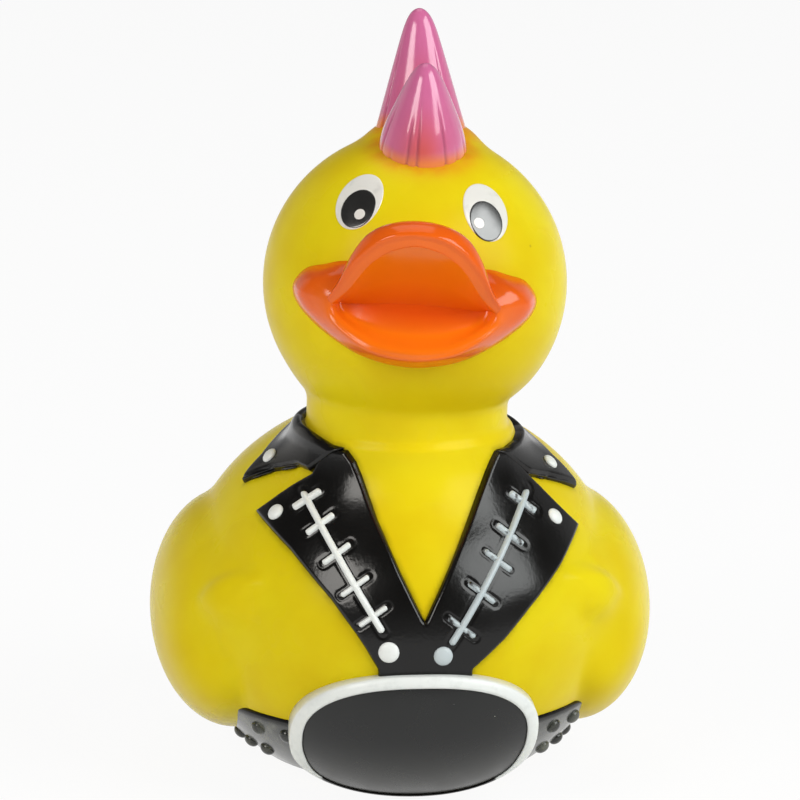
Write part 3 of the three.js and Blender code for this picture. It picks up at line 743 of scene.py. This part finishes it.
def blackPaint(tree, grain, where):
    # brushed gloss black: visible orange peel, and thin paint along the raised edges
    edge = rangeOf(tree, mark(tree, "edge"), 0.0, 0.7, 1.0, 0.0)
    thin = timesOf(tree, edge, rangeOf(tree, grain["Mottle"], 0.45, 0.75))
    specked = mathOf(tree, "MAXIMUM", thin, timesOf(tree, grain["Specks"], blackLook["speckShare"]))
    return mixOf(tree, specked, blackLook["base"], blackLook["worn"])


black = makePaint("blackPaint", blackLook, blackPaint)

jacketLook = {
    "shift": 0.5, "lapelStep": 0.9, "collarStep": 1.2, "backStep": 0.7, "backFrom": -6, "backFade": 8,
    "rounding": 0.75, "sink": 0.3, "wall": 0.5, "meetAt": 0.86, "heartHeight": 36,
    "rows": 220, "columns": 84, "collarColumns": 46, "trench": 0.1, "trenchWidth": 0.17,
    # lapel edges in front view, from the neck down to behind the buckle: across, height
    "lapelAt": (0, 0.05, 0.2, 0.42, 0.64, 0.8, 0.86, 0.92, 1),
    "inner": {
        -1: ((9.4, 49.6), (8.3, 48.1), (7.6, 46.4), (5.8, 41.2), (3, 34.9), (0.9, 30.6), (0, 28.8),
             (0, 25.9), (0, 11.5)),
        1: ((10.7, 48.6), (10, 47.6), (9.3, 46.4), (6.5, 41), (3.2, 34.9), (0.9, 30.6), (0, 28.8),
            (0, 25.9), (0, 11.5))},
    "outer": {
        -1: ((21.6, 39.6), (21, 39.1), (19.6, 38), (17.3, 36.2), (12.3, 31), (9.2, 26.9), (8, 25.1),
             (6.3, 22.2), (6.3, 11.5)),
        1: ((22.6, 36.9), (22.1, 36.4), (20.9, 35.1), (19.2, 33.2), (14.4, 28.9), (10.9, 25.5),
            (9.2, 24.1), (6.5, 21.9), (6.5, 11.5))},
    # lapel tops from the neck, under the collar, to the outer tip: across, height
    "topAt": (0, 0.22, 0.4, 1), "topFade": 0.2,
    "top": {-1: ((9.4, 49.6), (11.9, 49.6), (13.8, 45.6), (21.6, 39.6)),
            1: ((10.7, 48.6), (12.2, 48.4), (15.3, 44.3), (22.6, 36.9))},
    # collar edges from the notch round to the middle of the back: across, back, up
    "collarAt": (0, 0.1, 0.2, 0.3, 0.42, 0.58, 0.78, 1),
    "neckSide": {
        -1: ((9.6, -18.2, 49.6), (11.2, -16.9, 49.9), (13, -13.7, 50.4), (14.4, -9, 50.7),
             (14.6, -4.5, 50.8), (12.8, 1.3, 51), (8, 5.8, 51.4), (0, 7.6, 51.6)),
        1: ((10.6, -16.6, 48.6), (12.2, -14.6, 48.7), (13.6, -11.6, 48.9), (14.5, -7.5, 49.3),
            (14.8, -4, 49.6), (13, 1.3, 50.4), (8, 5.8, 51.4), (0, 7.6, 51.6))},
    "freeSide": {
        -1: ((13.9, -15, 45.6), (15.5, -12.4, 45.8), (18.8, -7.9, 44.1), (22.6, -4.5, 41.8),
             (19.9, -2.3, 44.6), (16.8, 2.9, 47.2), (10.2, 9.2, 49.4), (0, 12, 50.6)),
        1: ((15.5, -13.1, 44.2), (18.3, -9.9, 42.9), (20.6, -7.7, 41.8), (22.9, -5.1, 40.4),
            (20.2, -2.6, 44.3), (16.8, 2.9, 47.2), (10.2, 9.2, 49.4), (0, 12, 50.6))},
}


lacingLook = {
    "width": 1.0, "step": 0.5, "sink": 0.25, "barHalfLength": 2.35, "barWidth": 0.75, "barStep": 0.36,
    "barTilt": 4, "rows": 90, "barRows": 30, "columns": 15, "wall": 0.2,
    -1: {"top": (-15.05, 43.6), "bottom": (-5.15, 27.4), "bars": (0.05, 0.21, 0.41, 0.64, 0.87),
         "paint": (0.95, 0.95, 0.9, 0.9, 0.85, 0.8), "cool": 0.1},
    1: {"top": (15.8, 43.2), "bottom": (3.9, 25.6), "bars": (0.07, 0.26, 0.42, 0.63, 0.87),
        "paint": (0.8, 0.58, 0.52, 0.53, 0.5, 0.53), "cool": 0.8},
}


def lacingRuns(side):
    # the long ridge and then the short bars across it, in front view: both ends and the width of each
    look = lacingLook
    top, bottom = (np.array(look[side][end]) for end in ("top", "bottom"))
    run = unit(bottom - top)
    square = np.array([run[1], -run[0]])
    lean = np.radians(look["barTilt"]) * side
    reach = (square * np.cos(lean) - run * np.sin(lean)) * look["barHalfLength"]
    middles = [top + (bottom - top) * share for share in look[side]["bars"]]
    bars = [(middle - reach, middle + reach, look["barWidth"]) for middle in middles]
    return [(top, bottom, look["width"])] + bars


def toRun(flat, start, end):
    # distance in front view from each point to a straight run
    run = end - start
    share = np.clip(((flat - start) @ run) / (run @ run), 0, 1)
    return np.linalg.norm(flat - start - share[..., None] * run, axis=-1)


def borderOf(points):
    # the points along the four sides of a grid
    return np.concatenate([points[0], points[-1], points[:, 0], points[:, -1]])


def along(params, nodes, samples):
    # straight runs between nodes, each at its own parameter
    return np.stack([np.interp(samples, params, column) for column in np.array(nodes, float).T], -1)


def makeLapels():
    # straight lines across between an inner and an outer edge, carried down the chest and raised off it
    look = jacketLook
    down = np.linspace(0, 1, look["rows"])
    share = crowd(look["columns"])[:, None]
    sheets = []
    for side in (-1, 1):
        inner, outer = (along(look["lapelAt"], look[edge][side], down) for edge in ("inner", "outer"))
        flat = between(inner[:, None], outer[:, None], share)
        top = along(look["topAt"], look["top"][side], share[:, 0])
        flat = flat + (top - flat[0]) * (1 - smoothStep(down / look["topFade"]))[:, None, None]
        sheets.append(frontSkin(look["shift"] + side * flat[..., 0], flat[..., 1]))
    parted = down < look["meetAt"]
    edges = [np.concatenate([sheet[:, -1], sheet[parted, 0], sheet[0]]) for sheet in sheets]
    border = np.concatenate(edges)
    parts = []
    for side, sheet in zip((-1, 1), sheets):
        raised, away = pressed(sheet, border, look["lapelStep"], look["rounding"], look["sink"], bodyField)
        gaps = [toRun(raised[..., ::2], start, end) - width / 2 for start, end, width in lacingRuns(side)]
        beside = (np.min(gaps, 0) - look["trenchWidth"]) / look["trenchWidth"]
        trench = look["trench"] * np.exp(-beside ** 2)
        parts.append(part(raised - outwardAt(sheet, bodyField) * trench[..., None], edge=away))
    finishPiece("lapels", parts, black, thickness=look["wall"], weld=True)
    return border


def makeCollar():
    # straight lines across from the neck side to the free side, as rays from inside the neck's foot
    look = jacketLook
    half = np.linspace(0, 1, look["rows"] // 2 + 1)
    edges = []
    for edge in ("neckSide", "freeSide"):
        right, left = (along(look["collarAt"], look[edge][side], half) for side in (1, -1))
        edges.append(np.concatenate([right, left[-2::-1] * flip]))
    inner, outer = edges
    share = crowd(look["collarColumns"])[:, None]
    target = between(inner[:, None], outer[:, None], share) + np.array([look["shift"], 0, 0])
    heart = np.array([0, form["neckY"], look["heartHeight"]])
    base = leave(heart, unit(target - heart), bodyField)
    backwards = smoothStep((base[..., 1] - look["backFrom"]) / look["backFade"])
    step = between(look["collarStep"], look["backStep"], backwards)
    raised, away = pressed(base, borderOf(base), step, look["rounding"], look["sink"], bodyField)
    finishPiece("collar", [part(raised, edge=away)], black, thickness=look["wall"])
    return borderOf(base)


jacketBorder = np.concatenate([makeLapels(), makeCollar()])
makeSkin()

whiteLook = {
    "base": linear(240, 243, 240), "grubby": linear(229, 232, 229), "under": linear(22, 19, 18),
    "cool": linear(170, 184, 190),
    "grain": (1500.0, 900.0, 420.0), "roughness": (0.3, 0.45), "bump": (0.15, 0.05),
}


def whitePaint(tree, grain, where):
    # dabbed white: streaky, a little grubby, and worn through to the black where the paint mark is low
    look = whiteLook
    toned = mixOf(tree, rangeOf(tree, grain["Mottle"], 0.45, 0.8), look["base"], look["grubby"])
    cooled = mixOf(tree, mark(tree, "cool"), toned, look["cool"])
    cover = mathOf(tree, "ADD", mark(tree, "paint"), mathOf(tree, "SUBTRACT", grain["Mottle"], 0.5))
    return mixOf(tree, rangeOf(tree, cover, 0.38, 0.55), look["under"], cooled)


white = makePaint("whitePaint", whiteLook, whitePaint)


def ridge(start, end, width, step, rows, **marks):
    # a rounded bar on the lapel: half an oval across, closing to nothing at both ends
    look = lacingLook
    down = np.linspace(0, 1, rows)[:, None]
    across = crowd(look["columns"])[None] * 2 - 1
    run = end - start
    length = np.linalg.norm(run)
    side = np.array([run[1], -run[0]]) / length
    fromEnd = np.minimum(down, 1 - down) * length / (width / 2)
    girth = quarterRound(fromEnd, 1, 1, 0)
    flat = start + down[..., None] * run + (across * girth * width / 2)[..., None] * side
    grow = jacketLook["lapelStep"]
    base = frontSkin(flat[..., 0], flat[..., 1], grow)
    rise = (step + look["sink"]) * np.sqrt(1 - across ** 2) * girth - look["sink"]
    return part(base + outwardAt(base, grown(grow)) * rise[..., None], **marks)


def makeLacing(side, title):
    # one long ridge with short, lower bars across it
    look = lacingLook
    parts = []
    for number, (start, end, width) in enumerate(lacingRuns(side)):
        step, rows = (look["barStep"], look["barRows"]) if number else (look["step"], look["rows"])
        paint, cool = look[side]["paint"][number], look[side]["cool"]
        parts.append(ridge(start, end, width, step, rows, paint=paint, cool=cool))
    finishPiece(title, parts, white, thickness=look["wall"])


makeLacing(-1, "lacing_left")
makeLacing(1, "lacing_right")

studLook = {
    "height": 0.6, "rows": 12, "turns": 32, "swing": 0.62, "paint": 0.85,
    # each stud: across, back or height, radius, bluish tint
    -1: {"collar": (-19.0, -6, 1.15, 0.1), "lapel": (-18.7, 40.6, 1.2, 0.1),
         "foot": (-4.4, 24.8, 1.42, 0.05)},
    1: {"collar": (20.0, -7.2, 1.15, 0.1), "lapel": (19.6, 39.4, 1.2, 0.1),
        "foot": (2.9, 24.2, 1.3, 0.7)},
}


def dome(seat, normal, radius, height, **marks):
    # a cap of a flattened ball, square to the skin, with its foot sunk a little
    side = unit(np.cross(normal, np.array([0.3, 0.2, 1.0])))
    other = np.cross(normal, side)
    swing = np.linspace(0, studLook["swing"] * np.pi, studLook["rows"] + 1)[1:, None]
    around = ringOf(studLook["turns"])[None]
    flat = radius * np.sin(swing)
    offset = (flat * np.cos(around))[..., None] * side + (flat * np.sin(around))[..., None] * other
    points = seat + offset + (height * np.cos(swing))[..., None] * normal
    top, foot = seat + height * normal, seat - height * normal
    return part(points, wrapColumns=True, startPole=top, endPole=foot, **marks)


def makeStuds():
    # a dome on each collar point, each lapel corner and each lapel foot
    look = studLook
    domes = []
    for side in (-1, 1):
        for spot, (across, other, radius, cool) in look[side].items():
            grow = jacketLook["collarStep" if spot == "collar" else "lapelStep"]
            if spot == "collar":
                seat = leave(np.array([across, other, form["bodyCentre"][2]]), upward, grown(grow))
            else:
                seat = frontSkin(across, other, grow)
            normal = outwardAt(seat, grown(grow))
            domes.append(dome(seat, normal, radius, look["height"], paint=look["paint"], cool=cool))
    finishPiece("jacket_studs", domes, white)


makeStuds()

beltLook = {
    "low": 2.6, "high": 12.6, "step": 0.6, "sink": 0.4, "rounding": 0.7, "wall": 0.6,
    "rows": 40, "turns": 260,
    "studRadius": 1.1, "studHeight": 0.8, "studs": 66, "rowGap": 4.4, "wingClear": 0.3, "buckleClear": 0.4,
    "base": linear(46, 48, 44), "worn": linear(104, 106, 97), "dark": linear(14, 13, 12),
    "grain": (1800.0, 420.0, 420.0), "roughness": (0.12, 0.26), "bump": (0.18, 0.06),
}


def beltPaint(tree, grain, where):
    # dark grey brushed on: streaky, blacker along the edges and round the studs
    toned = mixOf(tree, rangeOf(tree, grain["Mottle"], 0.4, 0.75), beltLook["base"], beltLook["worn"])
    dark = rangeOf(tree, mark(tree, "edge"), 0.2, 1.2, 1.0, 0.0)
    return mixOf(tree, dark, toned, beltLook["dark"])


beltGrey = makePaint("beltPaint", beltLook, beltPaint)


def aroundHull(bearing, height, field):
    # where level rays from the hull's axis leave a field
    return leave(spread(0.0, form["bodyCentre"][1], height), levelAt(bearing), field)


def makeBelt():
    # a band round the hull below the wings, with rounded edges
    look = beltLook
    height = (look["low"] + (look["high"] - look["low"]) * crowd(look["rows"]))[:, None]
    bare = grown(0.0, False)
    base = aroundHull(ringOf(look["turns"])[None], height, bare)
    away = np.minimum(height - look["low"], look["high"] - height)
    rise = quarterRound(away, look["rounding"], look["step"], look["sink"])
    band = part(base + outwardAt(base, bare) * rise[..., None], wrapColumns=True, edge=away)
    finishPiece("belt", [band], beltGrey, thickness=look["wall"])


def makeBeltStuds():
    # two staggered rows of domes, left out under the wings and behind the buckle
    look = beltLook
    number = np.arange(look["studs"])
    height = (look["low"] + look["high"]) / 2 + np.where(number % 2, 0.5, -0.5) * look["rowGap"]
    skin = grown(look["step"], False)
    seats = aroundHull((number + 0.5) / look["studs"] * fullTurn, height, skin)
    winged = wingField(seats) < look["wingClear"]
    ahead = seats[:, 1] < form["bodyCentre"][1]
    behind = ahead & (np.abs(seats[:, 0]) < buckleLook["halfWidth"] + look["buckleClear"])
    seats = seats[~(winged | behind)]
    domes = [dome(seat, normal, look["studRadius"], look["studHeight"], edge=1.0)
             for seat, normal in zip(seats, outwardAt(seats, skin))]
    finishPiece("belt_studs", domes, beltGrey)


buckleLook = {
    "halfWidth": 16.9, "halfHeight": 9.85, "centre": (-0.5, 11.85), "squareness": (2.3, 2.6), "shear": 0.04,
    "bowCentre": (0, -12, 17.7), "bowHalf": (24.5, 22, 18.6), "faceDepth": 4.5, "innermost": 0.04,
    "turns": 220, "rows": 40,
    # the rim narrows towards its foot, and turns to the dark under colour there
    "rimWidth": 1.65, "rimStep": 0.55, "rimDepth": 6, "rimInside": 1.5, "rimRows": 15, "rimRound": 0.7,
    "footShare": 0.25, "footFrom": -0.95, "footFade": 0.7,
    "paint": 1.1, "paintFrom": -0.88, "paintFade": 0.3, "cool": 0.1,
    # the plate's lower colour is a painted reflection of the floor on its downward foot
    "face": linear(16, 17, 16), "paintedFloorSheen": linear(54, 54, 50), "scratch": linear(150, 150, 146),
    "sheenBand": (2, 13), "scratchScale": 520.0, "scratchShare": 0.5,
    "grain": (1500.0, 200.0, 700.0), "roughness": (0.24, 0.36), "bump": (0.05, 0.05),
}


def bucklePlace(share, inset, around, proud):
    # oval with filled-out corners, leaning over to one side, laid on the buckle's bowed front
    look = buckleLook
    turnX, turnZ = np.cos(around), np.sin(around)
    power = 2 / np.where(turnZ > 0, *look["squareness"])
    across = share * (look["halfWidth"] - inset) * np.sign(turnX) * np.abs(turnX) ** power
    height = share * (look["halfHeight"] - inset) * np.sign(turnZ) * np.abs(turnZ) ** power
    across = across + look["shear"] * height + look["centre"][0]
    height = height + look["centre"][1]
    bow = look["bowHalf"]
    left = 1 - (across / bow[0]) ** 2 - ((height - look["bowCentre"][2]) / bow[2]) ** 2
    depth = look["bowCentre"][1] - bow[1] * np.sqrt(np.maximum(left, 0.02)) - proud
    return np.stack([across, depth, height], -1)


def bucklePaint(tree, grain, where):
    # dark plate: greyer towards its foot as a painted reflection of the floor, with dust and a few hair
    # scratches
    look = buckleLook
    low, high = look["sheenBand"]
    height = place(tree, "ShaderNodeSeparateXYZ", {0: where}).outputs[2]
    # painted floor reflection: greyer towards the foot
    toned = mixOf(tree, rangeOf(tree, height, low * mm, high * mm, 1.0, 0.0), look["face"], look["paintedFloorSheen"])
    stretched = place(tree, "ShaderNodeMapping", {"Vector": where, "Scale": (1.0, 1.0, 0.14)}).outputs[0]
    values = {"Vector": stretched, "Speck Scale": look["scratchScale"]}
    scratches = place(tree, "ShaderNodeGroup", values, node_tree=surfaceGroup).outputs["Specks"]
    marks = mathOf(tree, "MAXIMUM", timesOf(tree, scratches, look["scratchShare"]), grain["Specks"])
    return mixOf(tree, marks, toned, look["scratch"])


plateGrey = makePaint("bucklePaint", buckleLook, bucklePaint)


def makeBuckle():
    # the face is rings that shrink to its middle; the rim is a rounded band round it with a wall behind
    look = buckleLook
    around = ringOf(look["turns"])
    full = smoothStep((np.sin(around) - look["footFrom"]) / look["footFade"])
    width = look["rimWidth"] * (look["footShare"] + (1 - look["footShare"]) * full)
    under = width / 2
    shares = np.linspace(1, look["innermost"], look["rows"])
    rings = [bucklePlace(share, under, around, 0.0) for share in shares]
    back = bucklePlace(1, under, around, -look["faceDepth"])
    middle = bucklePlace(0, 0, np.zeros(1), 0.0)
    face = part(np.stack([back] + rings), wrapColumns=True, startPole=back.mean(axis=0), endPole=middle)
    finishPiece("buckle_face", [face], plateGrey)
    bend = np.linspace(0, np.pi, look["rimRows"])
    inset = (1 - np.cos(bend)) / 2
    proud = look["rimStep"] * np.sin(bend) ** look["rimRound"]
    profile = [bucklePlace(1, i * width, around, p) for i, p in zip(inset, proud)]
    walls = [bucklePlace(1, inset, around, -depth)
             for inset, depth in ((width, look["rimInside"]), (0, look["rimDepth"]))]
    paint = look["paint"] * smoothStep((np.sin(around) - look["paintFrom"]) / look["paintFade"])
    rim = part(np.stack(profile + walls), wrapRows=True, wrapColumns=True, paint=paint, cool=look["cool"])
    finishPiece("buckle_rim", [rim], white)


makeBelt()
makeBeltStuds()
makeBuckle()

eyeLook = {
    "rows": 18, "turns": 96, "wall": 0.4, "thinning": (0.9, 80),
    # bearing and height on the head in degrees, lean, and the middle of each layer on the eye
    -1: {"azimuth": 30.4, "elevation": 39, "lean": -6,
         "eye_white": (0, 0), "pupil": (0.3, -1.29), "glint": (0.85, -2.23)},
    1: {"azimuth": 32.4, "elevation": 37.4, "lean": -10,
        "eye_white": (0, 0), "pupil": (-0.2, -1.47), "glint": (-1.41, -2.03)},
    "white": linear(230, 228, 222), "black": linear(26, 25, 24), "fading": 0.82,
    "grain": (1600.0, 500.0, 700.0), "roughness": (0.16, 0.24), "bump": (0.05, 0.04),
}


def eyeInk(name, colour, specular):
    # printed ink: smooth and glossy, with the faint unevenness of a pad print
    faded = tuple(eyeLook["fading"] * value for value in colour[:3]) + (1.0,)

    def uneven(tree, grain, where):
        # the colour, fading in patches
        return mixOf(tree, rangeOf(tree, grain["Mottle"], 0.5, 0.8), colour, faded)

    fixed = {"Specular IOR Level": specular, "IOR": 1.6}
    return makePaint(name, {**eyeLook, "fixed": fixed}, uneven)


eyeWhite = eyeInk("eyeWhite", eyeLook["white"], 0.5)
pupilBlack = eyeInk("pupilBlack", eyeLook["black"], 1.0)

# layers of each eye from the head outwards: half width, half height, lift off the head, ink and slot
eyeLayers = {
    "eye_white": (3.35, 4.4, 0.1, eyeWhite, "white_paint"),
    "pupil": (2.5, 2.95, 0.17, pupilBlack, "black_paint"),
    "glint": (0.78, 0.78, 0.22, eyeWhite, "white_paint"),
}


def eyeDisc(side, halfWidth, halfHeight, shift, lift):
    # an oval laid square on the head ball: rings out from its middle, thin at the edge
    look = eyeLook
    mine = look[side]
    share = 1 - (1 - np.linspace(0, 1, look["rows"] + 1)[1:, None]) ** 2
    around = ringOf(look["turns"])[None]
    right = halfWidth * share * np.cos(around) + shift[0]
    up = halfHeight * share * np.sin(around) + shift[1]
    lean = np.radians(mine["lean"]) * side
    across = right * np.cos(lean) - up * np.sin(lean)
    height = right * np.sin(lean) + up * np.cos(lean)
    loss, power = look["thinning"]
    radius = form["headRadius"] + lift * (1 - loss * share ** power)
    forward = np.sqrt(radius ** 2 - across ** 2 - height ** 2)
    raised = turned(spread(across, -forward, height), "x", -np.radians(mine["elevation"]))
    points = turned(raised, "z", side * np.radians(mine["azimuth"])) + headCentre
    return part(points, wrapColumns=True, startPole=points[0].mean(axis=0))


def makeEyes():
    # on each side a white, a pupil and a glint, each a little prouder than the one below
    for side, title in ((-1, "left"), (1, "right")):
        for name, (halfWidth, halfHeight, lift, ink, slot) in eyeLayers.items():
            sheet = eyeDisc(side, halfWidth, halfHeight, eyeLook[side][name], lift)
            finishPiece(name + "_" + title, [sheet], ink, thickness=eyeLook["wall"])


makeEyes()

stageLook = {
    "aim": (-0.4, 0, 52.4), "azimuth": -4.4, "elevation": 12, "distance": 600, "frameWidth": 112,
    "sensor": 36, "floorHalf": 6.0, "floor": (0.9, 0.9, 0.9, 1), "glow": 0.93, "sky": (0.42, 0.1),
    "skyTop": 0.45,
}


def makeFloor():
    # a wide pale sheet that keeps the shadow and glows a little for the camera and for reflections
    size = stageLook["floorHalf"]
    mesh = bpy.data.meshes.new("floor")
    corners = [(-size, -size, 0), (size, -size, 0), (size, size, 0), (-size, size, 0)]
    mesh.from_pydata(corners, [], [(0, 1, 2, 3)])
    floor = linked("floor", mesh)
    material = bpy.data.materials.new("paleFloor")
    material.use_nodes = True
    tree = material.node_tree
    tree.nodes.clear()
    path = place(tree, "ShaderNodeLightPath").outputs
    seen = mathOf(tree, "MAXIMUM", path["Is Camera Ray"], path["Is Glossy Ray"])
    seen = mathOf(tree, "MAXIMUM", seen, path["Is Transmission Ray"])
    matte = place(tree, "ShaderNodeBsdfDiffuse", {"Color": stageLook["floor"]}).outputs[0]
    glow = place(tree, "ShaderNodeEmission", {"Color": (1, 1, 1, 1), "Strength": 1.0}).outputs[0]
    share = timesOf(tree, seen, stageLook["glow"])
    mixed = place(tree, "ShaderNodeMixShader", {0: share, 1: matte, 2: glow}).outputs[0]
    place(tree, "ShaderNodeOutputMaterial", {"Surface": mixed})
    mesh.materials.append(material)


# soft square lamps: bearing from the front, height, distance, size, radiance and tint of each
lampLook = {
    "key": (58, 34, 1.0, 0.68, 5.6, (0.97, 1, 0.99)),
    "fill": (-47, 31, 1.0, 0.44, 7.2, (1, 0.97, 0.92)),
    "left": (-130, 15, 1.0, 0.7, 0.3, (1, 0.95, 0.88)),
    "right": (130, 15, 1.0, 0.7, 0.25, (1, 1, 1)),
    "top": (180, 72, 1.0, 0.6, 1, (1, 0.98, 0.95)),
}


def towards(azimuth, elevation):
    # unit vector from the duck at a bearing from its front and a height, both in degrees
    bearing, rise = np.radians(azimuth), np.radians(elevation)
    return np.array([np.sin(bearing) * np.cos(rise), -np.cos(bearing) * np.cos(rise), np.sin(rise)])


def makeLight():
    # soft square lamps and a pale sky that is brightest near the horizon
    for name, (bearing, rise, distance, size, radiance, tint) in lampLook.items():
        data = bpy.data.lights.new(name, "AREA")
        data.energy = radiance * np.pi * size ** 2
        data.size = size
        data.color = tint
        source = linked(name, data)
        source.location = towards(bearing, rise) * distance + np.array([0, 0, stageLook["aim"][2] * mm])
        source.rotation_euler = (np.pi / 2 - np.radians(rise), 0, np.radians(bearing))
    world = bpy.data.worlds.new("paleSky")
    bpy.context.scene.world = world
    world.use_nodes = True
    tree = world.node_tree
    where = place(tree, "ShaderNodeTexCoord").outputs["Generated"]
    up = place(tree, "ShaderNodeSeparateXYZ", {0: where}).outputs[2]
    level = rangeOf(tree, up, 0.0, stageLook["skyTop"], *stageLook["sky"])
    background = tree.nodes["Background"]
    tree.links.new(level, background.inputs["Strength"])
    background.inputs["Color"].default_value = (1, 1, 1, 1)


def makeCamera():
    # stands off the aim point by the photo's bearing and height, with a long lens that frames the duck
    look = stageLook
    back = towards(look["azimuth"], look["elevation"])
    data = bpy.data.cameras.new("camera")
    data.sensor_width = look["sensor"]
    data.sensor_fit = "HORIZONTAL"
    data.lens = look["sensor"] * look["distance"] / look["frameWidth"]
    data.clip_start = 0.01
    camera = linked("camera", data)
    camera.location = (np.array(look["aim"]) + back * look["distance"]) * mm
    camera.rotation_euler = (np.pi / 2 - np.radians(look["elevation"]), 0, np.radians(look["azimuth"]))
    bpy.context.scene.camera = camera


makeFloor()
makeLight()
makeCamera()
bpy.context.scene.view_settings.view_transform = "Standard"
print("stage: floor,", len(lampLook), "lamps, sky and camera")
